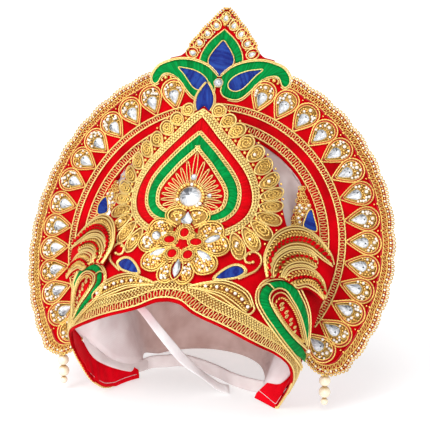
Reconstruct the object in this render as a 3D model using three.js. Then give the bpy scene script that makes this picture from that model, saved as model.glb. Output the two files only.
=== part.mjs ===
// Mukut crown: a padded cloth band with a tall front crest, a leaning sun disc behind it,
// gold appliqué on both, and a white cap inside. Millimetres, Z up, the front faces -Y.
import * as THREE from 'three';

// ---- driving sizes ----
const WALL = 2.0; // padded cloth of the band and the disc
const CLOTH = 1.4; // cap and strap cloth
const GAP = 0.45; // between a piece and the one it is sewn on
const TRIM = 1.8; // thickness of a sewn-on piece
const ORIGIN = { x: 0, y: 0.93, z: 0 }; // bottom centre of the whole crown

const TWIST = { angle: -6, top: 135, drop: 75, y: -30 };

// The band and the crest: at each height a circle of this radius about this centre.
const BAND_CIRCLES = [
  { z: 0, radius: 68, centre: -45 },
  { z: 50, radius: 90, centre: -30 },
  { z: 90, radius: 99, centre: 6 },
  { z: 100, radius: 100, centre: 20 },
  { z: 125, radius: 89, centre: 32.5 },
  { z: 150, radius: 76, centre: 40.5 },
  { z: 180, radius: 70.5, centre: 57.5 },
  { z: 215, radius: 66, centre: 78 },
  { z: 235, radius: 64, centre: 90 },
];

// Height up the crest's slope, from the middle of the band's lower edge, against z.
const SLOPE = [
  { up: -107.6, z: 0 },
  { up: -81.2, z: 25 },
  { up: -56.1, z: 50 },
  { up: -25.2, z: 75 },
  { up: 8.6, z: 100 },
  { up: 43, z: 125 },
  { up: 75.7, z: 150 },
  { up: 113.2, z: 180 },
  { up: 156.2, z: 215 },
  { up: 180.6, z: 235 },
];

// The band's lower edge, and the upper edge point that each of its points is joined to.
const BAND_EDGES = [
  { low: 0, lowZ: 95, high: 0, highZ: 214.5 },
  { low: 4, lowZ: 94.3, high: 5, highZ: 214.5 },
  { low: 12, lowZ: 89, high: 15, highZ: 212.5 },
  { low: 17, lowZ: 86, high: 22.5, highZ: 206.5 },
  { low: 22, lowZ: 83.3, high: 29, highZ: 198.5 },
  { low: 27, lowZ: 80.3, high: 35.3, highZ: 190 },
  { low: 32, lowZ: 77, high: 42.7, highZ: 181 },
  { low: 38, lowZ: 72.8, high: 48, highZ: 171 },
  { low: 43, lowZ: 69.4, high: 52.6, highZ: 161 },
  { low: 48, lowZ: 66, high: 54, highZ: 147 },
  { low: 53, lowZ: 62.7, high: 53, highZ: 137 },
  { low: 58, lowZ: 58.8, high: 55, highZ: 129 },
  { low: 63, lowZ: 54.4, high: 61, highZ: 122 },
  { low: 68.5, lowZ: 48.8, high: 71, highZ: 111 },
  { low: 73.5, lowZ: 42.8, high: 77, highZ: 97 },
  { low: 79, lowZ: 35.5, high: 79, highZ: 82 },
  { low: 84.5, lowZ: 28, high: 80.5, highZ: 63 },
  { low: 91, lowZ: 20, high: 82.5, highZ: 46 },
  { low: 98, lowZ: 10.8, high: 90, highZ: 33 },
  { low: 106, lowZ: 0, high: 107, highZ: 26 },
  { low: 116, lowZ: 0, high: 118, highZ: 18 },
  { low: 127, lowZ: 0, high: 127, highZ: 10 },
];
const BAND_ROWS = 14;

// The disc: a shallow cylinder that leans back. Angles run from its top, down each side.
const DISC = { height: 116.08, bend: 400, lean: 30, end: 132 };
const DISC_RADII = [
  { angle: 0, hole: 86.5, rim: 190.3 },
  { angle: 2.1, hole: 86.5, rim: 184 },
  { angle: 3.9, hole: 86.5, rim: 177.5 },
  { angle: 6, hole: 86.5, rim: 171.5 },
  { angle: 7.2, hole: 86.5, rim: 166.8 },
  { angle: 9.2, hole: 86.5, rim: 161.5 },
  { angle: 10.8, hole: 86.5, rim: 155.5 },
  { angle: 13, hole: 86.5, rim: 152.5 },
  { angle: 16, hole: 86.5, rim: 152.8 },
  { angle: 18, hole: 86.5, rim: 140 },
  { angle: 30, hole: 86.5, rim: 139 },
  { angle: 60, hole: 86.5, rim: 139 },
  { angle: 90, hole: 86.5, rim: 139 },
  { angle: 104, hole: 87.5, rim: 139 },
  { angle: 113, hole: 92, rim: 139 },
  { angle: 122, hole: 98, rim: 138.5 },
  { angle: 128, hole: 101, rim: 136.8 },
  { angle: 132, hole: 113, rim: 130 },
];
const DISC_ROWS = 3;

const EDGE_TRIM = { start: 24.2, end: 131, inside: 2.5, outside: 5.5, scallop: 1.2, pitch: 4.5 };
const OUTER_LACE = { inner: 102.8, outer: 107.1, end: 122 };
const INNER_LACE = { inner: 88.5, outer: 96, end: 96 };

// Teardrops of the disc: angle from the top, on each side, and distance of their middles.
const TEARDROPS = [
  { angle: 16.9, radius: 121.2 },
  { angle: 25.6, radius: 122.4 },
  { angle: 34.2, radius: 122.6 },
  { angle: 42.8, radius: 122.6 },
  { angle: 51.2, radius: 122.6 },
  { angle: 59.5, radius: 122.6 },
  { angle: 68.2, radius: 122.6 },
  { angle: 77.3, radius: 122.6 },
  { angle: 85.8, radius: 122.6 },
  { angle: 94.3, radius: 122.6 },
  { angle: 102.7, radius: 122.6 },
  { angle: 111, radius: 122.4 },
  { angle: 119.6, radius: 121.8 },
  { angle: 127.4, radius: 119.8 },
];
const TEARDROP_OUTLINE = [
  { out: -13.6, side: 0 },
  { out: -10, side: 2.6 },
  { out: -5.5, side: 5.2 },
  { out: -1, side: 7.4 },
  { out: 4, side: 8.4 },
  { out: 8.6, side: 7.2 },
  { out: 11.8, side: 4.2 },
  { out: 12.9, side: 0 },
];

// The finial's flower, half outlines on the disc: across from the middle, up the lean.
const PETAL_OUTLINE = [
  { across: 0, up: 171 },
  { across: 3.8, up: 167.4 },
  { across: 7.2, up: 164.3 },
  { across: 11, up: 160 },
  { across: 13.8, up: 155.5 },
  { across: 16.2, up: 150 },
  { across: 17, up: 145.6 },
  { across: 9.6, up: 140.6 },
  { across: 4, up: 135.6 },
  { across: 0, up: 131.6 },
];
const PETAL_CENTRE = { across: 0, up: 148 };
const FINIAL_PAISLEY = [
  { across: 2.2, up: 130.4, across2: 2.5, up2: 118.5 },
  { across: 9.2, up: 137.8, across2: 7, up2: 113.7 },
  { across: 18.2, up: 143, across2: 15, up2: 112 },
  { across: 25, up: 144.8, across2: 22.3, up2: 116.9 },
  { across: 32, up: 145.4, across2: 28.7, up2: 123.9 },
  { across: 38, up: 144.9, across2: 34.5, up2: 130.6 },
  { across: 43.5, up: 143.1, across2: 41, up2: 133.1 },
  { across: 50.6, up: 138, across2: 46.6, up2: 132 },
  { across: 53.9, up: 131, across2: 48.4, up2: 128.4 },
];

// The crest's pattern, half outlines: along the cloth from the middle, up the slope.
const BRAID_OUTER = [
  { along: 0, up: 154.2 },
  { along: 8.4, up: 147.6 },
  { along: 17, up: 136.5 },
  { along: 27, up: 124.6 },
  { along: 33, up: 116.5 },
  { along: 39.8, up: 108.2 },
  { along: 47, up: 96 },
  { along: 50.9, up: 84 },
  { along: 50.8, up: 72.4 },
  { along: 47.3, up: 63.5 },
  { along: 40, up: 57 },
  { along: 30, up: 52 },
];
const BRAID_INNER = [
  { along: 0, up: 147.2 },
  { along: 5, up: 141.6 },
  { along: 13.6, up: 130.8 },
  { along: 23.2, up: 119.6 },
  { along: 29.4, up: 112 },
  { along: 35.6, up: 104 },
  { along: 41.6, up: 93.5 },
  { along: 45, up: 83.4 },
  { along: 45.4, up: 74.6 },
  { along: 42.4, up: 66.8 },
  { along: 36.6, up: 61.2 },
  { along: 28.4, up: 57 },
];
const RED_OUTER = [
  { along: 0, up: 146.6 },
  { along: 7.2, up: 137.6 },
  { along: 15, up: 128.4 },
  { along: 22.8, up: 119.2 },
  { along: 30.6, up: 109.2 },
  { along: 37.2, up: 100.4 },
  { along: 40.9, up: 93.2 },
  { along: 44.2, up: 84.6 },
  { along: 44.9, up: 76.6 },
  { along: 42.6, up: 68.4 },
  { along: 37.6, up: 62.6 },
  { along: 30, up: 58.6 },
];
const RED_INNER = [
  { along: 0, up: 133.4 },
  { along: 6.6, up: 126.4 },
  { along: 13.8, up: 118.6 },
  { along: 20.4, up: 110.4 },
  { along: 27.4, up: 102 },
  { along: 32.2, up: 94.8 },
  { along: 34.4, up: 88.4 },
  { along: 35.2, up: 81 },
  { along: 34.4, up: 74.4 },
  { along: 31.2, up: 68.6 },
  { along: 27.4, up: 65.2 },
  { along: 23, up: 63 },
];
const GREEN_OUTER = [
  { along: 0, up: 132.8 },
  { along: 6.7, up: 125.6 },
  { along: 13.6, up: 118 },
  { along: 19.4, up: 110.2 },
  { along: 26.8, up: 101 },
  { along: 31.2, up: 92.6 },
  { along: 33.6, up: 84.6 },
  { along: 33.8, up: 77.3 },
  { along: 31.2, up: 70.2 },
  { along: 25, up: 65 },
  { along: 15, up: 62.7 },
];
const GREEN_INNER = [
  { along: 0, up: 123.4 },
  { along: 5.7, up: 116.8 },
  { along: 12, up: 109.6 },
  { along: 18.2, up: 101 },
  { along: 23.2, up: 93.6 },
  { along: 26.4, up: 86.4 },
  { along: 26.7, up: 80 },
  { along: 25.3, up: 74.4 },
  { along: 22.4, up: 71.4 },
  { along: 18.6, up: 69.4 },
  { along: 14, up: 68.4 },
];
const RAY_FIELD = [
  { along: 0, up: 122.4 },
  { along: 6, up: 114.8 },
  { along: 13, up: 105.6 },
  { along: 18.6, up: 97 },
  { along: 23, up: 89.6 },
  { along: 25.4, up: 83.4 },
  { along: 24.6, up: 76.4 },
  { along: 20.4, up: 71.4 },
  { along: 13, up: 69.2 },
  { along: 0, up: 68.4 },
];
const FIELD_CENTRE = { along: 0, up: 88 };
const FIELD_RISE = 0.7;
const STONE = { up: 82.5, radius: 7.8, height: 3.2, sides: 16 };

// Gold coil border: from beside the crest's point, down its side.
const BORDER_OUTER = [
  { along: 6.6, up: 156 },
  { along: 17.2, up: 154.2 },
  { along: 26.3, up: 146.6 },
  { along: 34.4, up: 136.5 },
  { along: 42.7, up: 126 },
  { along: 52, up: 114.6 },
  { along: 60, up: 102.6 },
  { along: 66.6, up: 90 },
  { along: 71.2, up: 72.4 },
  { along: 70.4, up: 61 },
  { along: 64.4, up: 51.7 },
  { along: 57.4, up: 45 },
  { along: 50, up: 41.5 },
  { along: 38, up: 38.6 },
];
const BORDER_INNER = [
  { along: 6.6, up: 151 },
  { along: 11.6, up: 144.8 },
  { along: 17.8, up: 137 },
  { along: 23.8, up: 129.6 },
  { along: 30.4, up: 121.2 },
  { along: 37.4, up: 112.6 },
  { along: 44, up: 102.8 },
  { along: 49.6, up: 91.6 },
  { along: 51.8, up: 79.6 },
  { along: 50.8, up: 68.6 },
  { along: 46.8, up: 61.2 },
  { along: 41.6, up: 56.6 },
  { along: 37.2, up: 54.2 },
  { along: 33.4, up: 52.4 },
];

const TOP_LEAF = [
  { along: 0, up: 175 },
  { along: 3, up: 170 },
  { along: 5.6, up: 164.6 },
  { along: 6.4, up: 160.2 },
  { along: 6, up: 156.4 },
  { along: 4.6, up: 153.6 },
  { along: 0, up: 156.2 },
];
const TOP_LEAF_CENTRE = { along: 0, up: 162 };

const ROSETTE = [
  { along: 0, up: 72.2 },
  { along: 5.2, up: 68.4 },
  { along: 8, up: 62 },
  { along: 15, up: 61.6 },
  { along: 23, up: 59.4 },
  { along: 26.4, up: 53.6 },
  { along: 26, up: 47.4 },
  { along: 32.6, up: 41.4 },
  { along: 31, up: 33.4 },
  { along: 26.4, up: 28.2 },
  { along: 17, up: 26 },
  { along: 10.6, up: 16.4 },
  { along: 4, up: 15.4 },
  { along: 0, up: 18.4 },
];
const ROSETTE_CENTRE = { along: 0, up: 44.2 };

// Right-hand pieces of the band; the left-hand ones mirror them.
const BAND_LEAF = [
  { along: 28.9, up: 19.6 },
  { along: 33.6, up: 25.4 },
  { along: 39.7, up: 28 },
  { along: 44.8, up: 26.2 },
  { along: 47.5, up: 22.5 },
  { along: 43.6, up: 19.4 },
  { along: 37.6, up: 18.4 },
  { along: 33, up: 18.4 },
];
const BAND_LEAF_CENTRE = { along: 39, up: 22.6 };
const LONG_PAISLEY = [
  { along: 12.5, up: 11.9, along2: 13, up2: 11.2 },
  { along: 22, up: 15.2, along2: 22, up2: 8.6 },
  { along: 34, up: 16.2, along2: 34, up2: 4 },
  { along: 43, up: 13.2, along2: 42, up2: -0.6 },
  { along: 50.5, up: 8.6, along2: 49, up2: -4.6 },
  { along: 57, up: 2.4, along2: 53.4, up2: -7.4 },
  { along: 61.4, up: -4, along2: 57, up2: -9.2 },
];
const SIDE_PAISLEY = [
  { along: 68, up: 16, along2: 62.6, up2: 11 },
  { along: 77, up: 18, along2: 60.8, up2: 3 },
  { along: 86.4, up: 12, along2: 64.6, up2: -5.6 },
  { along: 94.4, up: 4, along2: 71.6, up2: -14.4 },
  { along: 102.6, up: -6, along2: 79.6, up2: -25.4 },
  { along: 110, up: -15, along2: 89, up2: -34.4 },
  { along: 116.6, up: -26, along2: 99.6, up2: -42 },
  { along: 122, up: -39, along2: 110.4, up2: -49.6 },
  { along: 128, up: -58, along2: 123.4, up2: -59 },
];
const LOWER_LACE_DEPTH = [
  { angle: 0, rise: 15.5 },
  { angle: 10, rise: 15 },
  { angle: 30, rise: 14.5 },
  { angle: 48, rise: 12 },
  { angle: 60, rise: 11 },
  { angle: 75, rise: 9 },
  { angle: 95, rise: 8 },
];
const LOWER_LACE_EDGE = 2.2;
const LOWER_LACE_END = 95;

// Wings: leaves on a flat-ish sheet that leaves the band at this angle, outward and back.
const WING = { angle: 45, bend: 200, lift: 2.4, thickness: 2.2 };
const WING_SHAPE = [
  { out: -13.4, z: 117.4, out2: -12.4, z2: 113.4 },
  { out: -10.6, z: 124, out2: -7, z2: 111 },
  { out: -3.6, z: 130.2, out2: -1, z2: 109.8 },
  { out: 5, z: 133.4, out2: 8, z2: 107.6 },
  { out: 15.4, z: 133.6, out2: 17, z2: 102.4 },
  { out: 26.6, z: 129.8, out2: 26.4, z2: 97 },
  { out: 36, z: 124, out2: 32.6, z2: 93.6 },
  { out: 43.4, z: 117.4, out2: 38.6, z2: 92 },
  { out: 48, z: 110.6, out2: 42.6, z2: 92.4 },
  { out: 50.4, z: 104, out2: 46, z2: 95 },
];

// The cap: columns of cloth from its free edge up to its crown, right way round from the
// middle of the front. A place given by an angle and a height is on the band's inner face.
const CAP_CROWN = { x: 0, y: 38, z: 181 };
const CAP_FRONT = [
  {
    edge: { angle: 0, z: 97.5 },
    low: { angle: 0, z: 107 },
    mid: { x: 0, y: -57, z: 117 },
    high: { x: 0, y: -22, z: 150 },
  },
  {
    edge: { angle: 20, z: 87.5 },
    low: { angle: 20, z: 101 },
    mid: { x: 29, y: -52, z: 117 },
    high: { x: 25, y: -18.5, z: 150 },
  },
  {
    edge: { angle: 40, z: 74.5 },
    low: { angle: 40, z: 95 },
    mid: { x: 54, y: -37, z: 117 },
    high: { x: 47, y: -7, z: 150 },
  },
  {
    edge: { angle: 58, z: 62 },
    low: { angle: 58, z: 86 },
    mid: { x: 69, y: -18, z: 117 },
    high: { x: 60, y: 6, z: 150 },
  },
];
const CAP_RIGHT = [
  {
    edge: { angle: 74, z: 52 },
    low: { x: 78, y: -33, z: 78 },
    mid: { x: 79, y: -3, z: 117 },
    high: { x: 67.5, y: 16, z: 150 },
  },
  {
    edge: { angle: 86, z: 40 },
    low: { x: 72.5, y: -28, z: 61 },
    mid: { x: 84.6, y: 8, z: 117 },
    high: { x: 70, y: 23, z: 150 },
  },
  {
    edge: { angle: 100, z: 27 },
    low: { x: 71.5, y: -16, z: 60 },
    mid: { x: 84.6, y: 15, z: 117 },
    high: { x: 71, y: 28, z: 150 },
  },
  {
    edge: { angle: 112, z: 12 },
    low: { x: 70, y: -4, z: 60 },
    mid: { x: 82.6, y: 22, z: 117 },
    high: { x: 70.5, y: 32, z: 150 },
  },
  {
    edge: { angle: 124, z: 4.6 },
    low: { x: 67, y: 9, z: 60 },
    mid: { x: 79, y: 30, z: 117 },
    high: { x: 68.5, y: 38, z: 150 },
  },
];
const CAP_REAR = [
  {
    edge: { x: 49, y: 8, z: 0 },
    low: { x: 68, y: 22, z: 60 },
    mid: { x: 75, y: 40, z: 117 },
    high: { x: 64, y: 45, z: 150 },
  },
  {
    edge: { x: 46, y: 28, z: 0 },
    low: { x: 61, y: 40, z: 60 },
    mid: { x: 66, y: 52, z: 117 },
    high: { x: 56, y: 53, z: 150 },
  },
  {
    edge: { x: 36, y: 53, z: 0 },
    low: { x: 46, y: 61, z: 60 },
    mid: { x: 49, y: 66, z: 117 },
    high: { x: 42, y: 62, z: 150 },
  },
  {
    edge: { x: 17, y: 71, z: 0 },
    low: { x: 22, y: 77, z: 60 },
    mid: { x: 24, y: 77, z: 117 },
    high: { x: 21, y: 69.5, z: 150 },
  },
  {
    edge: { x: -8, y: 79, z: 0 },
    low: { x: -6, y: 82, z: 60 },
    mid: { x: -4, y: 79.5, z: 117 },
    high: { x: -3, y: 71, z: 150 },
  },
  {
    edge: { x: -32, y: 74, z: 0 },
    low: { x: -33, y: 76, z: 60 },
    mid: { x: -32, y: 74.5, z: 117 },
    high: { x: -27, y: 68, z: 150 },
  },
  {
    edge: { x: -50, y: 59, z: 0 },
    low: { x: -54, y: 61, z: 60 },
    mid: { x: -55, y: 62, z: 117 },
    high: { x: -47, y: 59.5, z: 150 },
  },
  {
    edge: { x: -60, y: 38, z: 0 },
    low: { x: -66, y: 41, z: 60 },
    mid: { x: -69, y: 49, z: 117 },
    high: { x: -59, y: 50, z: 150 },
  },
  {
    edge: { x: -48.8, y: 12, z: 0 },
    low: { x: -66, y: 24, z: 60 },
    mid: { x: -76, y: 39, z: 117 },
    high: { x: -65, y: 44, z: 150 },
  },
];
const CAP_STEPS = 3; // around, between two columns
const CAP_ROWS = 16;

const STRAP = { height: 9, thickness: 1.2 };
const STRAP_ROUTE = [
  { x: -49.6, y: 20 },
  { x: -46, y: 25 },
  { x: -36, y: 29 },
  { x: -25, y: 34 },
  { x: -9, y: 28 },
  { x: 10, y: 15 },
  { x: 24, y: 3 },
  { x: 38, y: -5 },
  { x: 53.4, y: -9.8 },
];

const RIBBON = { half: 4, thick: 0.45, steps: 44 };
const RIBBON_ROUTE = [
  { x: -34.3, y: -75.1, z: 91 },
  { x: -31, y: -69, z: 85 },
  { x: -26.5, y: -62, z: 76 },
  { x: -22, y: -56, z: 66 },
  { x: -14, y: -47, z: 50 },
  { x: -5, y: -38, z: 34 },
  { x: 4, y: -29, z: 22 },
  { x: 11, y: -22, z: 12 },
  { x: 17, y: -17, z: 4 },
  { x: 21, y: -15, z: 1.4 },
  { x: 25, y: -13.4, z: 0.7 },
];

// Pearl strings under the disc: bead centres down the thread.
const PEARLS = { x: 100, y: -33, thread: 0.6, top: 32.8 };
const PEARL_BEADS = [
  { z: 30.4, radius: 2.2 },
  { z: 23.9, radius: 4.2 },
  { z: 15.2, radius: 4.4 },
  { z: 7.8, radius: 2.9 },
];

const FINISH = {
  red: { color: 0xd00818, roughness: 0.6, metalness: 0 },
  gold: { color: 0xd8ac50, roughness: 0.35, metalness: 1 },
  green: { color: 0x06964a, roughness: 0.5, metalness: 0 },
  blue: { color: 0x2b3fae, roughness: 0.5, metalness: 0 },
  white: { color: 0xf0eaea, roughness: 0.85, metalness: 0 },
  stone: { color: 0xdfe4e8, roughness: 0.1, metalness: 0 },
  pearl: { color: 0xefe0c0, roughness: 0.3, metalness: 0 },
};

// ---- smooth tables ----

// A curve through the rows that never overshoots between two of them.
function through(rows, x, y) {
  const n = rows.length;
  const xs = rows.map((row) => row[x]);
  const ys = rows.map((row) => row[y]);
  const rise = [];
  for (let i = 0; i + 1 < n; i++) rise.push((ys[i + 1] - ys[i]) / (xs[i + 1] - xs[i]));
  const slope = xs.map((_, i) => {
    if (i === 0) return rise[0];
    if (i === n - 1) return rise[n - 2];
    if (rise[i - 1] * rise[i] <= 0) return 0;
    return (2 * rise[i - 1] * rise[i]) / (rise[i - 1] + rise[i]);
  });
  return (at) => {
    let i = 0;
    while (i < n - 2 && at > xs[i + 1]) i++;
    const span = xs[i + 1] - xs[i];
    const t = Math.min(1, Math.max(0, (at - xs[i]) / span));
    const early = t * (1 - t) * (1 - t) * span * slope[i];
    const late = t * t * (t - 1) * span * slope[i + 1];
    const ease = t * t * (3 - 2 * t);
    return ys[i] + (ys[i + 1] - ys[i]) * ease + early + late;
  };
}

const radians = THREE.MathUtils.degToRad;
const bandRadius = through(BAND_CIRCLES, 'z', 'radius');
const bandCentre = through(BAND_CIRCLES, 'z', 'centre');
const slopeHeight = through(SLOPE, 'up', 'z');
const discHole = through(DISC_RADII, 'angle', 'hole');
const discRim = through(DISC_RADII, 'angle', 'rim');

// ---- surfaces: each takes two coordinates and a lift off the surface ----

// Turns the band's lower part a little about the upright, as it is worn askew.
function twisted(point) {
  const amount = radians(TWIST.angle) * THREE.MathUtils.smoothstep((TWIST.top - point.z) / TWIST.drop, 0, 1);
  const y = point.y - TWIST.y;
  return new THREE.Vector3(
    point.x * Math.cos(amount) - y * Math.sin(amount),
    point.x * Math.sin(amount) + y * Math.cos(amount) + TWIST.y,
    point.z,
  );
}

// Adds the lift along the normal of a bare surface, which faces away from the crown's middle.
function lifted(bare) {
  return (a, b, lift = 0) => {
    const step = 0.01;
    const point = bare(a, b);
    const along = bare(a + step, b).sub(bare(a - step, b));
    const up = bare(a, b + step).sub(bare(a, b - step));
    return point.addScaledVector(along.cross(up).normalize(), lift);
  };
}

function bandCircle(angle, z) {
  const radius = bandRadius(z);
  return twisted(
    new THREE.Vector3(radius * Math.sin(angle), bandCentre(z) - radius * Math.cos(angle), z),
  );
}

// Band by angle in degrees and height.
const onBandAngle = lifted((angle, z) => bandCircle(radians(angle), z));
// Band by pattern coordinates: along the cloth from the middle, up the slope.
const onBand = lifted((along, up) => bandCircle(along / bandRadius(slopeHeight(up)), slopeHeight(up)));

// Disc by pattern coordinates: across from the middle, up the lean.
const onDisc = lifted((across, up) => {
  const sag = DISC.bend * (1 - Math.cos(across / DISC.bend));
  const lean = radians(DISC.lean);
  return new THREE.Vector3(
    DISC.bend * Math.sin(across / DISC.bend),
    up * Math.sin(lean) + sag * Math.cos(lean),
    DISC.height + up * Math.cos(lean) - sag * Math.sin(lean),
  );
});

// Disc by angle from its top in degrees and radius.
function onDiscRing(angle, radius, lift) {
  return onDisc(radius * Math.sin(radians(angle)), radius * Math.cos(radians(angle)), lift);
}

// Wing sheet: leaves the band along its tangent at one angle and bends back a little.
function wingSheet(side) {
  const start = radians(WING.angle);
  const bare = (out, z) => {
    const bend = out / WING.bend;
    const run = WING.bend * Math.sin(bend);
    const back = WING.bend * (1 - Math.cos(bend));
    const radius = bandRadius(z);
    const x = (radius - back) * Math.sin(start) + run * Math.cos(start);
    const y = bandCentre(z) - (radius - back) * Math.cos(start) + run * Math.sin(start);
    return twisted(new THREE.Vector3(side * x, y, z));
  };
  const sheet = lifted(bare);
  return (out, z, lift) => sheet(out, z, side * lift);
}

// ---- solids ----

// A closed solid between a front and a back grid of points, front(i, j) and back(i, j).
function between(front, back, columns, rows, closed = false) {
  const places = new Map();
  const positions = [];
  const index = [];
  const place = (point) => {
    const key = [point.x, point.y, point.z].map((v) => Math.round(v * 1e4)).join();
    if (!places.has(key)) {
      places.set(key, positions.length / 3);
      positions.push(point.x - ORIGIN.x, point.y - ORIGIN.y, point.z - ORIGIN.z);
    }
    return places.get(key);
  };
  const face = (a, b, c) => {
    if (a !== b && b !== c && c !== a) index.push(a, b, c);
  };
  const quad = (a, b, c, d) => {
    face(a, b, c);
    face(a, c, d);
  };
  const grid = (surface) => {
    const ids = [];
    for (let i = 0; i <= columns; i++) {
      ids.push([]);
      for (let j = 0; j <= rows; j++) ids[i].push(place(surface(closed && i === columns ? 0 : i, j)));
    }
    return ids;
  };
  const f = grid(front);
  const k = grid(back);
  for (let i = 0; i < columns; i++) {
    for (let j = 0; j < rows; j++) {
      quad(f[i][j], f[i + 1][j], f[i + 1][j + 1], f[i][j + 1]);
      quad(k[i][j + 1], k[i + 1][j + 1], k[i + 1][j], k[i][j]);
    }
    quad(k[i][0], k[i + 1][0], f[i + 1][0], f[i][0]);
    quad(f[i][rows], f[i + 1][rows], k[i + 1][rows], k[i][rows]);
  }
  if (!closed) {
    for (let j = 0; j < rows; j++) {
      quad(f[0][j], f[0][j + 1], k[0][j + 1], k[0][j]);
      quad(k[columns][j], k[columns][j + 1], f[columns][j + 1], f[columns][j]);
    }
  }
  return solid(positions, index);
}

// An indexed geometry whose faces point outwards, whichever way the grid ran.
function solid(positions, index) {
  let volume = 0;
  const corner = (i) => new THREE.Vector3().fromArray(positions, 3 * i);
  for (let i = 0; i < index.length; i += 3) {
    volume += corner(index[i]).dot(corner(index[i + 1]).cross(corner(index[i + 2])));
  }
  if (volume < 0) index.reverse();
  const geometry = new THREE.BufferGeometry();
  geometry.setAttribute('position', new THREE.Float32BufferAttribute(positions, 3));
  geometry.setIndex(index);
  geometry.computeVertexNormals();
  return geometry;
}

// A smooth run of points through a table, evenly spaced along it.
function smoothRun(points, steps) {
  const curve = new THREE.CatmullRomCurve3(
    points.map(([a, b]) => new THREE.Vector3(a, b, 0)),
    false,
    'centripetal',
  );
  return curve.getSpacedPoints(steps).map((p) => [p.x, p.y]);
}

// A sewn-on band of cloth or cord between two edges on a surface.
function strip(surface, edgeA, edgeB, steps, rows = 1, base = GAP, height = TRIM) {
  const a = smoothRun(edgeA, steps);
  const b = smoothRun(edgeB, steps);
  const at = (lift) => (i, j) => {
    const t = j / rows;
    return surface(a[i][0] + (b[i][0] - a[i][0]) * t, a[i][1] + (b[i][1] - a[i][1]) * t, lift);
  };
  return between(at(base + height), at(base), steps, rows);
}

// A padded patch with this closed outline, domed towards its centre.
function patch(surface, outline, centre, { rings = 2, base = GAP, height = TRIM, dome = 0.5 } = {}) {
  const at = (low, rise) => (i, j) => {
    const t = j / rings;
    const [a, b] = outline[i % outline.length];
    const lift = low + rise * (1 - t * t);
    return surface(centre[0] + (a - centre[0]) * t, centre[1] + (b - centre[1]) * t, lift);
  };
  return between(at(base + height, dome), at(base, 0), outline.length, rings, true);
}

// An arch over the middle: from the left foot up, over the point and down to the right foot.
function arch(rows) {
  const right = rows.map((row) => [row.along, row.up]);
  const left = right.slice(1).map(([a, b]) => [-a, b]).reverse();
  return { left: [...left, right[0]], right };
}

// ---- the group ----

const crown = new THREE.Group();
crown.name = 'mukut_crown';

function add(name, finish, geometry) {
  const material = new THREE.MeshStandardMaterial(FINISH[finish]);
  const mesh = new THREE.Mesh(geometry, material);
  mesh.name = name;
  crown.add(mesh);
}

const SIDES = [
  { name: 'right', sign: 1 },
  { name: 'left', sign: -1 },
];

// ---- cloth ----

const bandHigh = through(BAND_EDGES, 'low', 'high');
const bandHighZ = through(BAND_EDGES, 'low', 'highZ');
const bandLowZ = through(BAND_EDGES, 'low', 'lowZ');
const bandColumns = [];
for (let i = 0; i + 1 < BAND_EDGES.length; i++) {
  bandColumns.push(BAND_EDGES[i].low, (BAND_EDGES[i].low + BAND_EDGES[i + 1].low) / 2);
}
bandColumns.push(BAND_EDGES[BAND_EDGES.length - 1].low);
const bandLows = [...bandColumns.slice(1).map((low) => -low).reverse(), ...bandColumns];

function bandPoint(i, j, lift) {
  const low = Math.abs(bandLows[i]);
  const side = Math.sign(bandLows[i]);
  const t = (j / BAND_ROWS) ** 1.5;
  const angle = side * (low + (bandHigh(low) - low) * t);
  const z = bandLowZ(low) + (bandHighZ(low) - bandLowZ(low)) * t;
  const point = onBandAngle(angle, z, lift);
  point.z = Math.max(point.z, 0);
  return point;
}
add('band_plate', 'red', between(
  (i, j) => bandPoint(i, j, 0),
  (i, j) => bandPoint(i, j, -WALL),
  bandLows.length - 1,
  BAND_ROWS,
));

const discAngles = [];
for (let i = 0; i + 1 < DISC_RADII.length; i++) {
  const from = DISC_RADII[i].angle;
  const to = DISC_RADII[i + 1].angle;
  const parts = Math.ceil((to - from) / 4.5);
  for (let k = 0; k < parts; k++) discAngles.push(from + ((to - from) * k) / parts);
}
discAngles.push(DISC.end);
const discColumns = [...discAngles.slice(1).map((angle) => -angle).reverse(), ...discAngles];
function discPoint(i, j, lift) {
  const angle = Math.abs(discColumns[i]);
  const radius = discHole(angle) + ((discRim(angle) - discHole(angle)) * j) / DISC_ROWS;
  return onDiscRing(discColumns[i], radius, lift);
}
add('halo_plate', 'red', between(
  (i, j) => discPoint(i, j, 0),
  (i, j) => discPoint(i, j, -WALL),
  discColumns.length - 1,
  DISC_ROWS,
));

// Cap: a smooth sheet through its columns.
function capPlace(place, side) {
  if ('angle' in place) return onBandAngle(side * place.angle, place.z, -WALL - 3 * GAP);
  return new THREE.Vector3(side * place.x, place.y, place.z);
}
function capColumn({ edge, low, mid, high }, side) {
  const places = [edge, low, mid, high, CAP_CROWN].map((place) => capPlace(place, side));
  return new THREE.CatmullRomCurve3(places, false, 'centripetal').getSpacedPoints(CAP_ROWS);
}
const capColumns = [
  ...[...CAP_FRONT, ...CAP_RIGHT].map((column) => capColumn(column, 1)),
  ...CAP_REAR.map((column) => capColumn(column, 1)),
  ...[...CAP_FRONT.slice(1), ...CAP_RIGHT].reverse().map((column) => capColumn(column, -1)),
];
const capRows = [];
for (let j = 0; j <= CAP_ROWS; j++) {
  const loop = new THREE.CatmullRomCurve3(capColumns.map((column) => column[j]), true, 'centripetal');
  const around = capColumns.length * CAP_STEPS;
  capRows.push(Array.from({ length: around }, (_, i) => loop.getPoint(i / around)));
}
const capAround = capRows[0].length;
function capPoint(i, j, lift) {
  const here = (di, dj) => capRows[Math.min(CAP_ROWS, Math.max(0, j + dj))][(i + di + capAround) % capAround];
  if (j === CAP_ROWS) return here(0, 0).clone().setZ(CAP_CROWN.z + lift);
  const along = here(1, 0).clone().sub(here(-1, 0));
  const up = here(0, 1).clone().sub(here(0, -1));
  const point = here(0, 0).clone().addScaledVector(along.cross(up).normalize(), lift);
  point.z = Math.max(point.z, 0);
  return point;
}
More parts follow.
